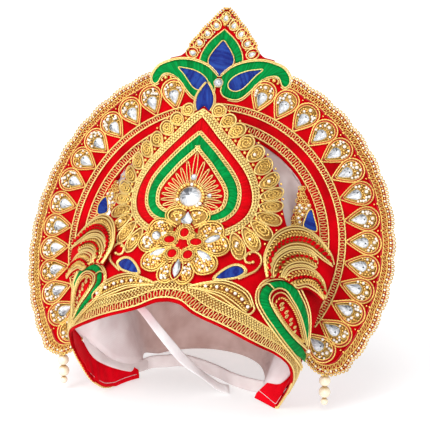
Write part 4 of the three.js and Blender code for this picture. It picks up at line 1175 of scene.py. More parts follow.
BLUE_PETAL_HALF = [
    (0, 161.3), (4.2, 156.6), (7.6, 151.6), (9.9, 146.8), (10.3, 143.2), (8.6, 139), (4.6, 134.6),
    (0, 130.8),
]
GREEN_PETAL_OUT = [
    (0, 171), (3.8, 167.4), (7.2, 164.3), (11, 160), (13.8, 155.5), (16.2, 150), (17.2, 144.6),
]
GREEN_PETAL_IN = [(0, 161.8), (4.4, 157), (7.9, 151.9), (10.4, 147), (11.2, 142.8)]
PAISLEY_OUT = [
    (1.8, 131.6), (5, 135.4), (9, 138.8), (13.6, 141.4), (18.8, 143.4), (25, 144.9), (32, 145.4),
    (37.5, 144.9), (42.8, 143.4), (49.6, 140.4), (53.6, 135.6), (55.2, 130.6), (54.2, 126.4),
    (51.6, 124.8), (49.4, 126.2),
]
PAISLEY_IN = [
    (2.7, 122.9), (2.4, 118.7), (4.4, 115.2), (8.6, 112.9), (15, 112), (19.4, 113.8), (23.4, 117.6),
    (27.6, 122.6), (31, 127), (34.6, 130.6), (38.6, 132.6), (41.8, 133.4), (45, 133.2), (47.2, 131.2),
    (48.4, 128.4),
]
BLUE_DROP = [
    (33.6, 138), (28, 137.4), (22.6, 136.3), (18, 134.6), (14.2, 132.6), (10.4, 129.4), (8.1, 125.8),
    (8.2, 121.9), (11.2, 119.2), (15.4, 118.9), (19.4, 120.9), (23.6, 125.6), (28.4, 132),
]
finial_cords, petals = [], []
for side in (1, -1):
    petals.append(
        padded(disc, handed(GREEN_PETAL_OUT, side), handed(GREEN_PETAL_IN, side), 0.3, 1.7, 1.2, 9, (0, 0))
    )
make("finial_green_petals", petals, GREEN_SATIN, ["finial_petals"])
blue_shapes = [cushion(disc, folded(BLUE_PETAL_HALF), 0.3, 1.6, 7, (0, 147), 1.2, (0.2, 1))]
finial_cords.append(cord(disc, folded(BLUE_PETAL_HALF), 0.5, 0.7, 0.8, closed=True))
for side in (1, -1):
    finial_cords.append(cord(disc, handed(GREEN_PETAL_OUT, side), 0.55, 0.5))
for hand, side in HANDS:
    leaf = padded(disc, handed(PAISLEY_OUT, side), handed(PAISLEY_IN, side), 0.3, 1.5, 1.2, 9, (0, 1))
    make(f"finial_green_paisley_{hand}", [leaf], GREEN_SATIN, [f"finial_paisley_{hand}"])
    blue_shapes.append(
        cushion(disc, handed(BLUE_DROP, side), 1.2, 1.3, 6, (side * 15.5, 127), 1, (side, 0.4))
    )
    outline = np.concatenate([PAISLEY_OUT, PAISLEY_IN[::-1]])
    borders = (
        (outline, 0.55, 0.4), (beside(PAISLEY_OUT, 1.3), 0.55, 0.1),
        (beside(PAISLEY_IN[3:], -1.3), 0.5, 0.1),
    )
    for line, radius, lift in borders:
        finial_cords.append(cord(disc, handed(line, side), radius, lift, 0.8))
    finial_cords.append(cord(disc, handed(BLUE_DROP, side), 0.45, 1.5, 0.7, closed=True))
make("finial_blue_leaves", blue_shapes, BLUE_SATIN)
KUNDANS = [
    (0, 181.2, 5, 3.9, 0), (7.4, 174.8, 5.1, 4.3, 0.5), (14, 167.8, 5.2, 4.5, 0.6),
    (19.8, 159.8, 5.4, 4.8, 0.7), (24.2, 150.8, 5.5, 4.7, 1),
]
stones, stone_painted_light, whites, ambers, finial_red = [], [], [], [], []
for across, up, long, wide, turn in KUNDANS:
    for side in (1, -1) if across else (1,):
        spot = np.array([[side * across, up]])
        axis = np.array([[side * math.sin(turn), math.cos(turn)]])
        cross = crosswise(axis)
        finial_cords.append(loops(disc, spot, axis * (long - 0.3), cross * (wide - 0.3), 0.56, 0.2, 20))
        eighth = full_turn(8)[:, None]
        cell = spot - axis * 0.5 + axis * 3.1 * np.cos(eighth) + cross * 2.3 * np.sin(eighth) * (
            1 - 0.3 * np.cos(eighth)
        )
        finial_cords.append(cord(disc, cell, 0.4, 0.3, 0.9, closed=True))
        stones.append(gem(disc, shrunk(cell, 0.88, spot[0]), (spot - axis * 0.5)[0], 1.3, 0.4, 0.5))
        stone_painted_light.append(painted_facet_light(8, 0.5, 0.2))
        ambers.append(beads(disc, spot + axis * (long - 1.5), 0.7, 0.4, 7, 4))
ambers.append(beads(disc, [(0, 174.6)], 1.7, 0.3))
stud_edge = ringed((0, 125.4), 3.5, 12)
stones.append(gem(disc, stud_edge, (0, 125.4), 2.6, 1.4, 0.4))
stone_painted_light.append(painted_facet_light(12, 2.6, 0.22, (4,)))
finial_cords.append(cord(disc, stud_edge, 0.4, 1.2, 0.8, closed=True))
for side in (1, -1):
    ambers.append(
        beads(disc, [(side * 43, 129.4), (side * 39, 129.8), (side * 46, 127.4)], (1.7, 1.1, 1.1), 0.1)
    )
    rim_angle = np.linspace(0.2, 9.6, 60)
    rim_line = ray(rim_angle * side, disc_rim(rim_angle) - 1.2)
    edge_row = spread(rim_line, int(reach(rim_line) / 2.5))
    ambers.append(beads(disc, edge_row, 1.05, 0.1, 7, 4))
    outer_row = spread(rim_line * 1.012, int(reach(rim_line) / 2.1))
    ambers.append(beads(disc, outer_row[1:], 0.95, -0.4, 7, 4))
    finial_red.append(cord(disc, rim_line * 0.988, 0.5, 0))
    inner_line = rim_line * 0.975
    finial_cords.append(rope(disc, inner_line[:54], 0.75, 2.4, 0.2))
    gaps = scattered(
        np.array([(0.6, 188), (8, 178), (17, 167), (27, 150), (20, 147), (14, 160), (7, 168), (0.6, 175)]),
        2.1, 0.2,
    )
    for across, up, long, wide, _ in KUNDANS:
        gaps = gaps[np.linalg.norm(gaps - [across, up], axis=1) > (long + wide) / 2 + 0.4]
    ambers.append(beads(disc, handed(gaps[::2], side), 0.9, 0.1, 7, 4))
    whites.append(beads(disc, handed(gaps[1::2], side), 0.8, 0.1, 7, 4))
make("finial_cords", finial_cords, PALE_GOLD)
make_stones("finial_stones", stones, stone_painted_light)
make("finial_red_edge", finial_red, RED_THREAD)
make("finial_amber_beads", ambers, GOLD_BEAD)
make("finial_pale_beads", whites, SEQUIN, slot="gold_cord")


# ---- the crest ----

columns = np.linspace(-127, 133, 261)
size = np.abs(columns)
share = np.linspace(0, 1, 29) ** 1.5
low_z, high_z = foot_z(columns), band_high_z(size) * (1 - 0.5 * np.clip((-columns - 106) / 21, 0, 1))
turned = columns[:, None] + (np.sign(columns) * (band_high(size) - size))[:, None] * share
heights = low_z[:, None] + (high_z - low_z)[:, None] * share
places = np.stack([turned, heights], -1)
bent, curl = flap_fold(places)
band_layer = layer(band_degrees, bent, curl, curl - CLOTH, places)
make("band_cloth", [band_layer], RED_CLOTH, ["band_plate"])
# soft slanting creases in the flaps' lining, from just above its hem to 30 mm above the floor
CREASE_DEPTH, CREASE_FOOT, CREASE_HIGH = 1.2, 5, 25
crease = CREASE_DEPTH * np.sin(0.36 * places[..., 0] + 0.15 * places[..., 1]) ** 2
crease *= np.sin(np.pi * np.clip((places[..., 1] - CREASE_FOOT) / CREASE_HIGH, 0, 1))
for hand, flap in (("left", columns < -67.5), ("right", columns > 86.5)):
    inner = (curl - CLOTH - crease)[flap]
    lining = layer(band_degrees, bent[flap], inner - 0.2, inner - 0.5, places[flap])
    make(f"flap_red_lining_{hand}", [lining], LIT_FLAP_LINING)

BRAID_OUTER = [
    (0, 154.2), (8.4, 147.6), (17, 136.5), (27, 124.6), (33, 116.5), (39.8, 108.2), (47, 96), (50.9, 84),
    (50.8, 72.4), (47.3, 63.5), (40, 57), (30, 52),
]
BRAID_INNER = [
    (0, 147.2), (5, 141.6), (13.6, 130.8), (23.2, 119.6), (29.4, 112), (35.6, 104), (41.6, 93.5),
    (45, 83.4), (45.4, 74.6), (42.4, 66.8), (36.6, 61.2), (28.4, 57),
]
RED_OUTER = [
    (0, 146.6), (7.2, 137.6), (15, 128.4), (22.8, 119.2), (30.6, 109.2), (37.2, 100.4), (40.9, 93.2),
    (44.2, 84.6), (44.9, 76.6), (42.6, 68.4), (37.6, 62.6), (30, 58.6),
]
RED_INNER = [
    (0, 135.6), (7.4, 128), (14.8, 120), (21.6, 111.8), (28, 103.2), (33.2, 95.6), (35.6, 88.8),
    (36.4, 81), (35.6, 73.8), (32.2, 67.6), (28.4, 64.2), (24, 62),
]
GREEN_OUTER = [
    (0, 133.2), (6.9, 126), (13.8, 118.2), (19.7, 110.4), (26.9, 101.2), (31.4, 92.8), (33.8, 84.8),
    (34, 77.3), (31.4, 70), (25, 64.7), (15, 62.4),
]
GREEN_INNER = [
    (0, 123.8), (5.7, 117.2), (12, 110), (18.2, 101.4), (23.2, 94), (26.6, 86.6), (26.9, 80),
    (25.5, 74.2), (22.4, 71), (18.6, 69), (14, 68),
]
FIELD_EDGE = [
    (0, 119.5), (5.2, 113.4), (12, 104.4), (17.6, 95.8), (21.8, 88.6), (23.6, 83), (23, 76.8),
    (19.4, 72.2), (12.4, 70.2),
]
STONE_SPOT, STONE_RADIUS = np.array([0, 82.5]), 7.9


def both_hands(points):
    return [handed(points, 1), handed(points, -1)]


crest_cords, shade_base = [], []
outer_braid = []
for line in both_hands(BRAID_OUTER):
    low_line = curve(handed(BRAID_INNER, np.sign(line[-1, 0])), 60)
    line = curve(line, 60)
    shade_base.append(strip(band, line, low_line, 0.1))
    for share, width in ((0.1, 0), (0.34, 3.4), (0.68, 3), (0.95, 0)):
        row = line + (low_line - line) * share
        outer_braid.append(
            ears(band, row, width, 2.5, 0.7, 0.8, 0.35) if width else cord(band, row, 0.55, 0.2)
        )
make("crest_outer_plait", outer_braid, PALE_GOLD, ["crest_outer_braid"])
red_arch = [
    padded(band, line, inner, 0.3, 1.1, 1.4, 9, (0, 0))
    for line, inner in zip(both_hands(RED_OUTER), both_hands(RED_INNER))
]
make("crest_red_satin", red_arch, RED_SATIN, ["crest_red_arch"])
green_arch = [
    padded(band, line, inner, 0.3, 1.3, 1.2, 9, (0, 0))
    for line, inner in zip(both_hands(GREEN_OUTER), both_hands(GREEN_INNER))
]
make("crest_green_satin", green_arch, GREEN_SATIN, ["crest_green_arch"])
thin = []
PLAIT_WIDE = 2.7


def thin_plait(path):
    """A narrow lace: two cords with a row of slanting stitches between them."""
    edge_a, edge_b = beside(path, PLAIT_WIDE / 2), beside(path, -PLAIT_WIDE / 2)
    shade_base.append(strip(band, edge_a, edge_b, 0.1))
    return joined([
        cord(band, beside(path, PLAIT_WIDE / 2 - 0.3), 0.5, 0.5),
        cord(band, beside(path, 0.3 - PLAIT_WIDE / 2), 0.5, 0.5),
        rope(band, path, 0.5, 2.5, 0.5, 0.5),
    ])


for red_line, green_line in zip(both_hands(RED_INNER), both_hands(GREEN_OUTER)):
    a, b = curve(red_line, 60), curve(green_line, 60)
    thin.append(thin_plait((a + b) / 2))
for green_line in both_hands(GREEN_INNER):
    thin.append(thin_plait(beside(green_line, (1.5 if green_line[-1, 0] < 0 else -1.5))))
make("crest_thin_plaits", thin, PALE_GOLD)

ray_count = 29
field_edge = [*handed(FIELD_EDGE[:0:-1], -1), *FIELD_EDGE, (4, 69.6), (-4, 69.6)]
edge_points = curve(field_edge, 200, True)
from_stone = edge_points - STONE_SPOT
edge_angle = np.arctan2(from_stone[:, 0], from_stone[:, 1])
order = np.argsort(edge_angle)
ray_angle = np.linspace(-np.pi, np.pi, ray_count, endpoint=False) + np.pi / ray_count
far = np.interp(ray_angle, edge_angle[order], np.linalg.norm(from_stone, axis=1)[order]) - 1.0
near = STONE_RADIUS + 2.6
keep = far > near + 2
ray_angle, far = ray_angle[keep], far[keep]
direction = np.stack([np.sin(ray_angle), np.cos(ray_angle)], -1)
across = crosswise(direction)
middle = STONE_SPOT + direction * ((far + near) / 2)[:, None]
span = (far - near)[:, None]
rays = loops(band, middle, direction * span / 2, across * (0.62 + 0.034 * span), 0.42, 0.1, 18)
make("crest_ray_loops", [rays], PALE_GOLD, ["crest_ray_field"])
bead_ring = ringed(STONE_SPOT, STONE_RADIUS + 1.5, 23)
stone_edge = ringed(STONE_SPOT, STONE_RADIUS, 16)
make_stones(
    "crest_stone", [gem(band, stone_edge, STONE_SPOT, 3.4, 0.7, 0.36, 0.8)],
    [painted_facet_light(16, 2, 0.36, (12, 13, 14))], ["crest_centre_stone"],
)
small = []
small_painted_light = []
for spot, radius in (((0.2, 98.2), 2.4), ((13.4, 84), 1.7)):
    small.append(gem(band, ringed(spot, radius, 8), spot, 1.8, 0.6, 0.5))
    small_painted_light.append(painted_facet_light(8, 0.4, 0.15))
crest_white = [beads(band, bead_ring[[0, 8, 9, 16]], 1.35, 0.7)]
crest_amber = [beads(band, np.delete(bead_ring, [0, 8, 9, 16], 0), 1.45, 0.7)]
crest_cords.append(cord(band, stone_edge, 0.45, 0.6, 0.8, closed=True))

BORDER_CENTRES = [
    (11.5, 151.9), (19.3, 143.6), (26.9, 135.4), (34.8, 125.3), (43.4, 115.8), (51.4, 104.7), (58, 92.7),
    (62, 81.5), (62.1, 72), (60.8, 62.5), (55.7, 54.4), (48, 48.1), (38.8, 43.3),
]
braid_line = curve(BRAID_OUTER, 160)
for hand, side in HANDS:
    outlines, coils, bases = [], [], []
    centres = np.array(BORDER_CENTRES)
    gap = np.linalg.norm(np.diff(centres, axis=0), axis=1)
    wide = 0.5 * np.concatenate([gap[:1], (gap[1:] + gap[:-1]) / 2, gap[-1:]]) - 0.1
    nearest = braid_line[np.linalg.norm(centres[:, None] - braid_line[None], axis=-1).argmin(1)]
    away = unit(centres - nearest)
    half = np.linalg.norm(centres - nearest, axis=1) + 0.1
    cross = crosswise(away)
    turn = full_turn(30)
    for number, (centre, out, square, long, broad) in enumerate(zip(centres, away, cross, half, wide)):
        blunt = broad * np.sin(turn) * (0.9 + 0.2 * np.cos(turn))
        egg = centre + out * ((long - 0.4) * np.cos(turn))[:, None] + square * blunt[:, None]
        bases.append(
            cushion(band, handed(shrunk(egg, 0.95, centre), side), 0.1, 0.5, 3, handed(centre, side), 2.4)
        )
        outlines.append(cord(band, handed(egg, side), 0.66, 0.3, 1, closed=True))
        t = np.linspace(0, 1, 44)
        spin = 2 * np.pi * (2.1 + 0.2 * (number % 3)) * t + 0.9 * number
        fall = (0.76 * (1 - 0.86 * t)) * (1 + 0.09 * np.sin(7.3 * spin + number))
        coil = centre + out * (long * fall * np.cos(spin))[:, None]
        coil = coil + square * (broad * fall * np.sin(spin))[:, None]
        coils.append(purl(band, handed(coil, side), 0.78, 0.5, 2))
    make(f"crest_coil_outlines_{hand}", outlines, PALE_GOLD, [f"crest_border_{hand}"])
    make(f"crest_coils_{hand}", coils, GOLD)
    make(f"crest_coil_pads_{hand}", bases, GOLD_BACKING)
    for share, radius, lift in ((-0.78, 1.3, 0.2), (0.95, 1, 0.1)):
        spots = (centres[1:] + centres[:-1]) / 2
        spots = spots + (away[1:] + away[:-1]) / 2 * (half[1:, None] + half[:-1, None]) / 2 * share
        crest_amber.append(beads(band, handed(spots, side), radius, lift))
    if side > 0:
        picked = centres[[4, 6, 12]] - away[[4, 6, 12]] * 1.6
        crest_white.append(beads(band, picked, 1.3, 1.2))
        crest_white.append(beads(band, centres[[11, 12]] + cross[[11, 12]] * 1.2, 1.1, 1.2))
    else:
        crest_white.append(beads(band, handed(centres[[10, 12]], side), 1.3, 1.2))
TOP_LEAF_HALF = [(0, 175), (3.2, 170), (5.7, 164.6), (6.4, 160.2), (6, 156), (4.4, 152.2), (0, 156)]
top_leaf = folded(TOP_LEAF_HALF)
make(
    "crest_blue_leaf", [cushion(band, top_leaf, 0.5, 1.5, 6, (0, 163), 1, (1, 0.15))], BLUE_SATIN,
    ["crest_top_leaf"],
)
for offset, radius, lift in ((0.6, 0.5, 0.5), (1.6, 0.42, 0.2)):
    crest_cords += [
        cord(band, line, radius, lift)
        for line in both_hands(beside(TOP_LEAF_HALF[:6], offset))
    ]


# ---- the rosette ----

HEART = [(5.8, 59), (12.4, 62.6), (14.2, 66), (12.8, 69.8), (9, 72), (4.8, 72.3), (1.1, 70.6)]
SIDE_PETAL = [
    (8.4, 58), (11.4, 61.2), (15, 62.6), (19.8, 62.7), (24.6, 60.2), (27.4, 55), (27.5, 51.6),
    (31.4, 47.6), (33.4, 42), (31.6, 37.8), (26.6, 35.4), (20.4, 36.6), (14.6, 40.4),
]
LOW_PETAL = [
    (13.6, 40.4), (18.2, 38.4), (24.6, 34.8), (27.4, 29.2), (26, 23.8), (20.6, 21.2), (15.4, 21.6),
    (11.2, 25.6), (8, 30.8),
]
rosette_cords, rosette_rope, rosette_red, rose_white, rose_amber = [], [], [], [], []
rose_stones, rose_painted_light, gold_base = [], [], []
LAYER = 1.6
gold_base.append(cushion(band, ringed((0, 44.6), (12, 13), 24), 0.6, 0.8, 3, (0, 44.6), 2.4))


def fill(outline, side, keep_out, gap=1.95):
    """Beads packed inside an outline, clear of round or long places given as middle and half size."""
    field = scattered(outline, gap, 0.22, 0.2)
    for (x, y), (wide, tall) in keep_out:
        field = field[np.linalg.norm((field - [x, y]) / [wide, tall], axis=1) > 1]
    kind = chance.random(len(field))
    kinds = (
        (field[kind > 0.68], rose_white, 1.3, LAYER - 0.5),
        (field[kind <= 0.68], rose_amber, 1.25, LAYER - 0.6),
    )
    for spots, row, most, lift in kinds:
        if len(spots):
            row.append(beads(band, handed(spots, side), chance.uniform(0.9, most, len(spots)), lift, 7, 4))


for side in (1, -1):
    for petal in (HEART, SIDE_PETAL, LOW_PETAL):
        petal = np.asarray(petal)
        middle = petal.mean(0)
        gold_base.append(
            cushion(band, handed(shrunk(petal, 0.96, middle), side), 0.6, 0.9, 3, handed(middle, side), 2.4)
        )
        rosette_cords.append(cord(band, handed(petal, side), 0.66, LAYER))
        rosette_cords.append(cord(band, handed(beside(petal, -1.85), side), 0.6, LAYER))
    rosette_rope.append(
        loops(
            band, handed([(7, 66.3)], side), np.array([[3.6 * side, 0.6]]), np.array([[0, 3.4]]), 0.55,
            LAYER, 16, turns=1.6, tight=0.6,
        )
    )
    fill(shrunk(HEART, 0.7, (6.5, 66)), side, [((0, 63.6), (4.6, 6.8)), ((7, 66.3), (1.8, 1.8))], 2.4)
    stone_places = [
        ((20.4, 49.3), (4.6, 4.6)), ((9.6, 46.9), (6.6, 6)), ((16.6, 35.8), (6.4, 2.6)),
        ((5.8, 36.4), (5.6, 5.6)),
    ]
    for petal in (SIDE_PETAL, LOW_PETAL):
        fill(shrunk(petal, 0.8, np.mean(petal, 0)), side, stone_places)
    edge = ringed((20.4, 49.3), 3.4, 8)
    if side > 0:
        edge = ringed((20.6, 49), (5.2, 2.6), 8)
        edge[:, 1] += 0.35 * (edge[:, 0] - 20.6)
    rose_stones.append(gem(band, handed(edge, side), handed((20.4, 49.3), side), 2.4, LAYER, 0.5))
    rosette_cords.append(
        cord(band, handed(shrunk(edge, 1.18, (20.5, 49.2)), side), 0.45, LAYER, 0.9, closed=True)
    )
    marquise = [
        (11.2, 39.6), (13, 36.2), (16.2, 33.2), (20, 31.8), (23, 32.4), (21.4, 35.4), (18.2, 38.2),
        (14.6, 39.8),
    ]
    rose_stones.append(gem(band, handed(marquise, side), handed((17, 35.7), side), 2, LAYER, 0.42))
    rosette_cords.append(
        cord(band, handed(shrunk(marquise, 1.14, (17, 35.7)), side), 0.42, LAYER, 0.9, closed=True)
    )
    rose_painted_light += [painted_facet_light(8, 2.4, 0.25, (1,)), painted_facet_light(8, 0.6, 0.25)]
pear = [(0.3, 70.2), (2.2, 66.8), (4.2, 63.6), (3.2, 61), (0, 60), (-3.2, 61), (-4.2, 63.4), (-2, 66.8)]
rose_stones.append(gem(band, pear, (0, 63.4), 2, LAYER, 0.42))
drop = [(0, 33.2), (1.8, 29.2), (2.7, 24.8), (1.8, 21), (0, 18.4), (-1.8, 21), (-2.7, 24.8), (-1.8, 29.2)]
rose_stones.append(gem(band, drop, (0, 25.4), 2, LAYER, 0.42))
rose_painted_light += [painted_facet_light(8, 0.5, 0.25), painted_facet_light(8, 2.6, 0.2)]
OVALS = [
    (0, 53.5, 5.3, 4.8, 0), (9.2, 46.6, 4.5, 5.8, 0.1), (-10, 47.4, 4.6, 5.6, -0.1),
    (5.3, 36.3, 5.2, 5, 0), (-6, 36.5, 5.2, 5, 0),
]
for across, up, tall, broad, lean in OVALS:
    spot = np.array([[across, up]])
    axis = np.array([[math.sin(lean), math.cos(lean)]])
    cross = crosswise(axis)
    ring = ellipse(spot, axis * (tall + 1.5), cross * (broad + 1.4), 24)
    rosette_rope.append(rope(band, ring, 0.66, 2.3, 1.2, closed=True))
    for inset, thick in ((0, 0.5), (1.25, 0.48)):
        rosette_cords.append(
            loops(band, spot, axis * (tall - inset), cross * (broad - inset), thick, LAYER + 0.2, 22)
        )
    oval = ellipse(spot, axis * (tall - 1.7), cross * (broad - 1.7), 16)
    rosette_red.append(cushion(band, oval, LAYER, 1, 5))
star = ringed((-0.2, 44.2), [[3.6], [5]] * 5, 10)
rosette_red.append(cushion(band, star, LAYER, 1.9, 5))
for side in (1, -1):
    rosette_cords.append(
        cord(
            band,
            [(side * 0.8, 34), (side * 3.6, 29), (side * 4.2, 23.4), (side * 2.6, 18.6), (0, 15.6)],
            0.6, LAYER,
        )
    )
    low_outline = [
        (side * 8.4, 30), (side * 12, 24.6), (side * 12.6, 18.4), (side * 9.4, 14), (side * 4.6, 13.4),
        (side * 1.6, 15.6),
    ]
    rosette_cords.append(cord(band, low_outline, 0.7, LAYER))
    rosette_cords.append(cord(band, beside(low_outline, -1.8 * side), 0.56, LAYER))
    low_petal = np.array([(4.8, 17), (9, 15.4), (11.2, 19), (10.6, 24), (7.6, 29), (4.6, 28)])
    gold_base.append(cushion(band, handed(low_petal, side), 0.6, 0.9, 3, (side * 7.6, 21), 2.4))
    fill(low_petal, side, [((0, 25), (4.2, 9))])
make("rosette_pads", gold_base, GOLD_BACKING)
make("rosette_cords", rosette_cords, GOLD, ["rosette"])
make("rosette_coils", rosette_rope, GOLD)
make("rosette_red_pads", rosette_red, RED_SATIN)
make_stones("rosette_stones", rose_stones + small, rose_painted_light + small_painted_light)


# ---- the band ----

slope_up = through(SLOPE, 1, 0)
BAND_LEAF = [
    (28.9, 19.2), (33.6, 25.2), (39.7, 28), (45, 26.4), (47.5, 22.8), (43.6, 19.6), (37.6, 18.6),
    (33, 18.2),
]
SCROLL = [
    (44.5, 17.6), (51.1, 20.5), (56.6, 23.4), (59.3, 28.8), (57.2, 34.2), (52.6, 37.6), (48.2, 37.2),
    (46, 33.6), (47.6, 30.2), (51.4, 29.2),
]
band_cords = []
for hand, side in HANDS:
    leaf = handed(BAND_LEAF, side)
    make(
        f"band_blue_leaf_{hand}",
        [cushion(band, leaf, 0.4, 1.3, 6, (side * 39.5, 22.8), 1, (side, 0.2))], BLUE_SATIN,
        [f"band_leaf_{hand}"],
    )
    for share, lift in ((1.08, 0.3), (1.22, 0.1)):
        band_cords.append(cord(band, shrunk(leaf, share, leaf.mean(0)), 0.66, lift, 0.8, closed=True))
    band_cords.append(cord(band, handed(SCROLL, side), 0.95, 0.1))
    band_cords.append(beads(band, handed([(52.6, 29.6)], side), 1.25, 0.1))
LONG_TOP = [
    (10.5, 11.2), (16, 13.6), (22, 15.2), (34, 16.6), (43, 13.8), (50.5, 9.2), (57, 3), (61.4, -3.4),
]
LONG_FOOT = [(10.8, 10.8), (16, 10.2), (22, 8.6), (34, 4), (42, -0.6), (49, -4.6), (53.4, -7.4), (57, -9.2)]
for hand, side in HANDS:
    top, foot = curve(LONG_TOP, 60), curve(LONG_FOOT, 60)
    shade_base.append(strip(band, handed(top, side), handed(foot, side), 0.3))
    cords, ropes = [], []
    for row, t in enumerate((0, 0.15, 0.32, 0.48, 0.64, 0.8, 0.95)):
        line = handed(top + (foot - top) * t, side)
        if row in (0, 1, 5, 6):
            cords.append(cord(band, line[2:], 0.64, 1.2))
        elif row == 3:
            spots = spread(line[14:-3], 11)
            crest_white.append(beads(band, spots[::2], 1.3, 1.3))
            crest_amber.append(beads(band, spots[1::2], 1.2, 1.2))
        else:
            ropes.append(rope(band, line[8:-2], 0.72, 2.3, 1))
    tip = handed([(61.4, -3.4), (62.8, -6.4), (60.8, -9.4), (57, -9.2)], side)
    cords.append(cord(band, tip, 0.74, 1.2))
    make(f"long_leaf_cords_{hand}", cords, PALE_GOLD, [f"long_paisley_{hand}"])
    make(f"long_leaf_ropes_{hand}", ropes, GOLD)

# each side leaf: the edges of its near arm and of its head, its rim, its core, and where
# the curls inside it start and end
SIDE_LEAF = {
    "right": (
        [
            (66.6, 11.2), (63.9, 7.4), (63.9, 2.6), (67.6, -5.7), (76.8, -17.4), (92.1, -32.5),
            (108.2, -46.8), (122, -57), (130, -62.4),
        ],
        [
            (73, 5.8), (71.4, 3.6), (71.6, 0.4), (76.4, -7), (89.4, -21.5), (105.2, -35.8), (117, -45),
            (126, -54), (130.6, -61.6),
        ],
        [
            (67, 11.6), (70.6, 12.6), (77.9, 12.4), (86.4, 8.7), (95.2, 2.2), (103.7, -7.2),
            (113.7, -20.4), (120.7, -33.1), (124, -46),
        ],
        [
            (73.2, 6.2), (74.8, 6.6), (77.5, 6.2), (83.7, 3.5), (93.1, -4.9), (102.5, -15.7),
            (112.2, -28.9), (119.4, -39.6), (123, -46.4),
        ],
        [
            (125.6, -67.1), (102.9, -45.4), (83, -25.4), (69.7, -11.1), (61.8, 0), (60.3, 8.2),
            (63.4, 13.5), (69.8, 16), (79.3, 14.9), (89.1, 9.8), (98.6, 1.5), (107.6, -8.1),
            (116.8, -21.2), (122.6, -33.7), (126.9, -47.6),
        ],
        [
            (126.4, -50.6), (115.4, -43.4), (105.2, -35.8), (89.4, -21.5), (76.4, -7), (71.8, 0.4),
            (72.6, 4.2), (76.5, 5.8), (83.7, 3.1), (93.1, -5.3), (102.5, -16.1), (112.2, -29.3),
            (120.4, -42),
        ],
        [(82.5, -6), (103.5, -29.5)],
    ),
    "left": (
        [(61.7, 11.7), (60, 5.2), (61.8, -5.4), (69.7, -17.4), (77.2, -27.6), (80.8, -34.6)],
        [(66.4, 8), (64, 1.6), (67.6, -8.2), (74.6, -20), (78.6, -27), (81.4, -34)],
        [(61.9, 12.1), (67.7, 15.4), (77.7, 14.4), (91.5, 6.6), (96.6, -2.7), (96.4, -9.6), (95.6, -14.4)],
        [(66.6, 8.6), (70.6, 10), (77, 9.4), (86.6, 3.8), (91.4, -2.6), (94, -9.6), (95, -14.2)],
        [
            (80.8, -37.4), (75, -30.6), (64.8, -18.8), (56, -7), (54, 3.2), (55.6, 11.6), (61, 16.4),
            (70, 18.4), (80, 17), (94.4, 9.2), (99.8, -2.4), (98.2, -13.4), (91, -24.4), (83, -35),
        ],
        [
            (80.6, -31), (74.8, -19.5), (68.4, -8.2), (65, 0.9), (67.4, 6.8), (75.4, 8.4), (85.6, 2.6),
            (90, -5), (90.8, -13.4), (87, -23),
        ],
        [(76, 2.4), (80.6, -18)],
    ),
}
for hand, side in HANDS:
    arm_out, arm_in, head_out, head_in, rim, core, curls = [handed(line, side) for line in SIDE_LEAF[hand]]
    middle = curls.mean(0)
    edges = ((arm_out, arm_in), (head_out, head_in))
    green = [padded(band, *pair, 1.4, 1.5, 1.3, 9, (0.6, 0)) for pair in edges]
    make(f"side_leaf_green_{hand}", green, GREEN_SATIN, [f"side_paisley_{hand}"])
    base = cushion(band, shrunk(rim, 0.97, middle), 0.2, 1.1, 3, middle, 3)
    make(f"side_leaf_pad_{hand}", [base], WINE_BACKING)
    cords = [cord(band, rim, 0.66, 1.6), cord(band, beside(rim, -1.9 * side), 0.66, 1.3)]
    cords.append(cord(band, core, 0.6, 2.4, closed=True))
    cords.append(cord(band, shrunk(core, 0.86, middle), 0.5, 2.3, closed=True))
    cords.append(
        cord(band, [rim[5], (arm_out[0] + head_out[0]) / 2, (arm_in[0] + head_in[0]) / 2], 0.5, 2.6)
    )
    ropes = [rope(band, shrunk(curve(core, 60, True), 0.7, middle), 0.68, 2.3, 2, closed=True)]
    heart = shrunk(curve(core, 60, True), 0.54, middle)
    make(f"side_leaf_red_heart_{hand}", [cushion(band, heart, 1.6, 0.8, 3)], RED_SATIN)
    for number, spot in enumerate(curls[0] + (curls[1] - curls[0]) * np.linspace(0, 1, 8)[:, None]):
        spot = spot + [0.9 * side * (-1) ** number, 0]
        curl = [handed([axis], side) * (1 - 0.05 * number) for axis in ((1.8, 0.5), (-0.4, 1.5))]
        cords.append(loops(band, spot[None], *curl, 0.42, 2.3, 9, turns=1.3, tight=0.6))
    make(f"side_leaf_cords_{hand}", cords, PALE_GOLD)
    make(f"side_leaf_ropes_{hand}", ropes, GOLD)
crest_white.append(beads(band, [(124.6, -50.4)], 1.5, 2.4))

LACE_DEPTH = through([(0, 1), (10, 0.98), (30, 0.96), (48, 0.86), (60, 0.8), (75, 0.72), (95, 0.66)])
lace_angles = np.linspace(-95, 95, 240)
edge_z = band_low_z(np.abs(lace_angles))
edge_line = np.stack([band_radius(edge_z) * np.radians(lace_angles), slope_up(edge_z)], -1)
edge_left, deepness = sideways(edge_line), LACE_DEPTH(np.abs(lace_angles))[:, None]


def lace_row(offset):
    """A line along the band's lower edge, as far up from it as the lace's depth allows."""
    return edge_line + edge_left * offset * deepness


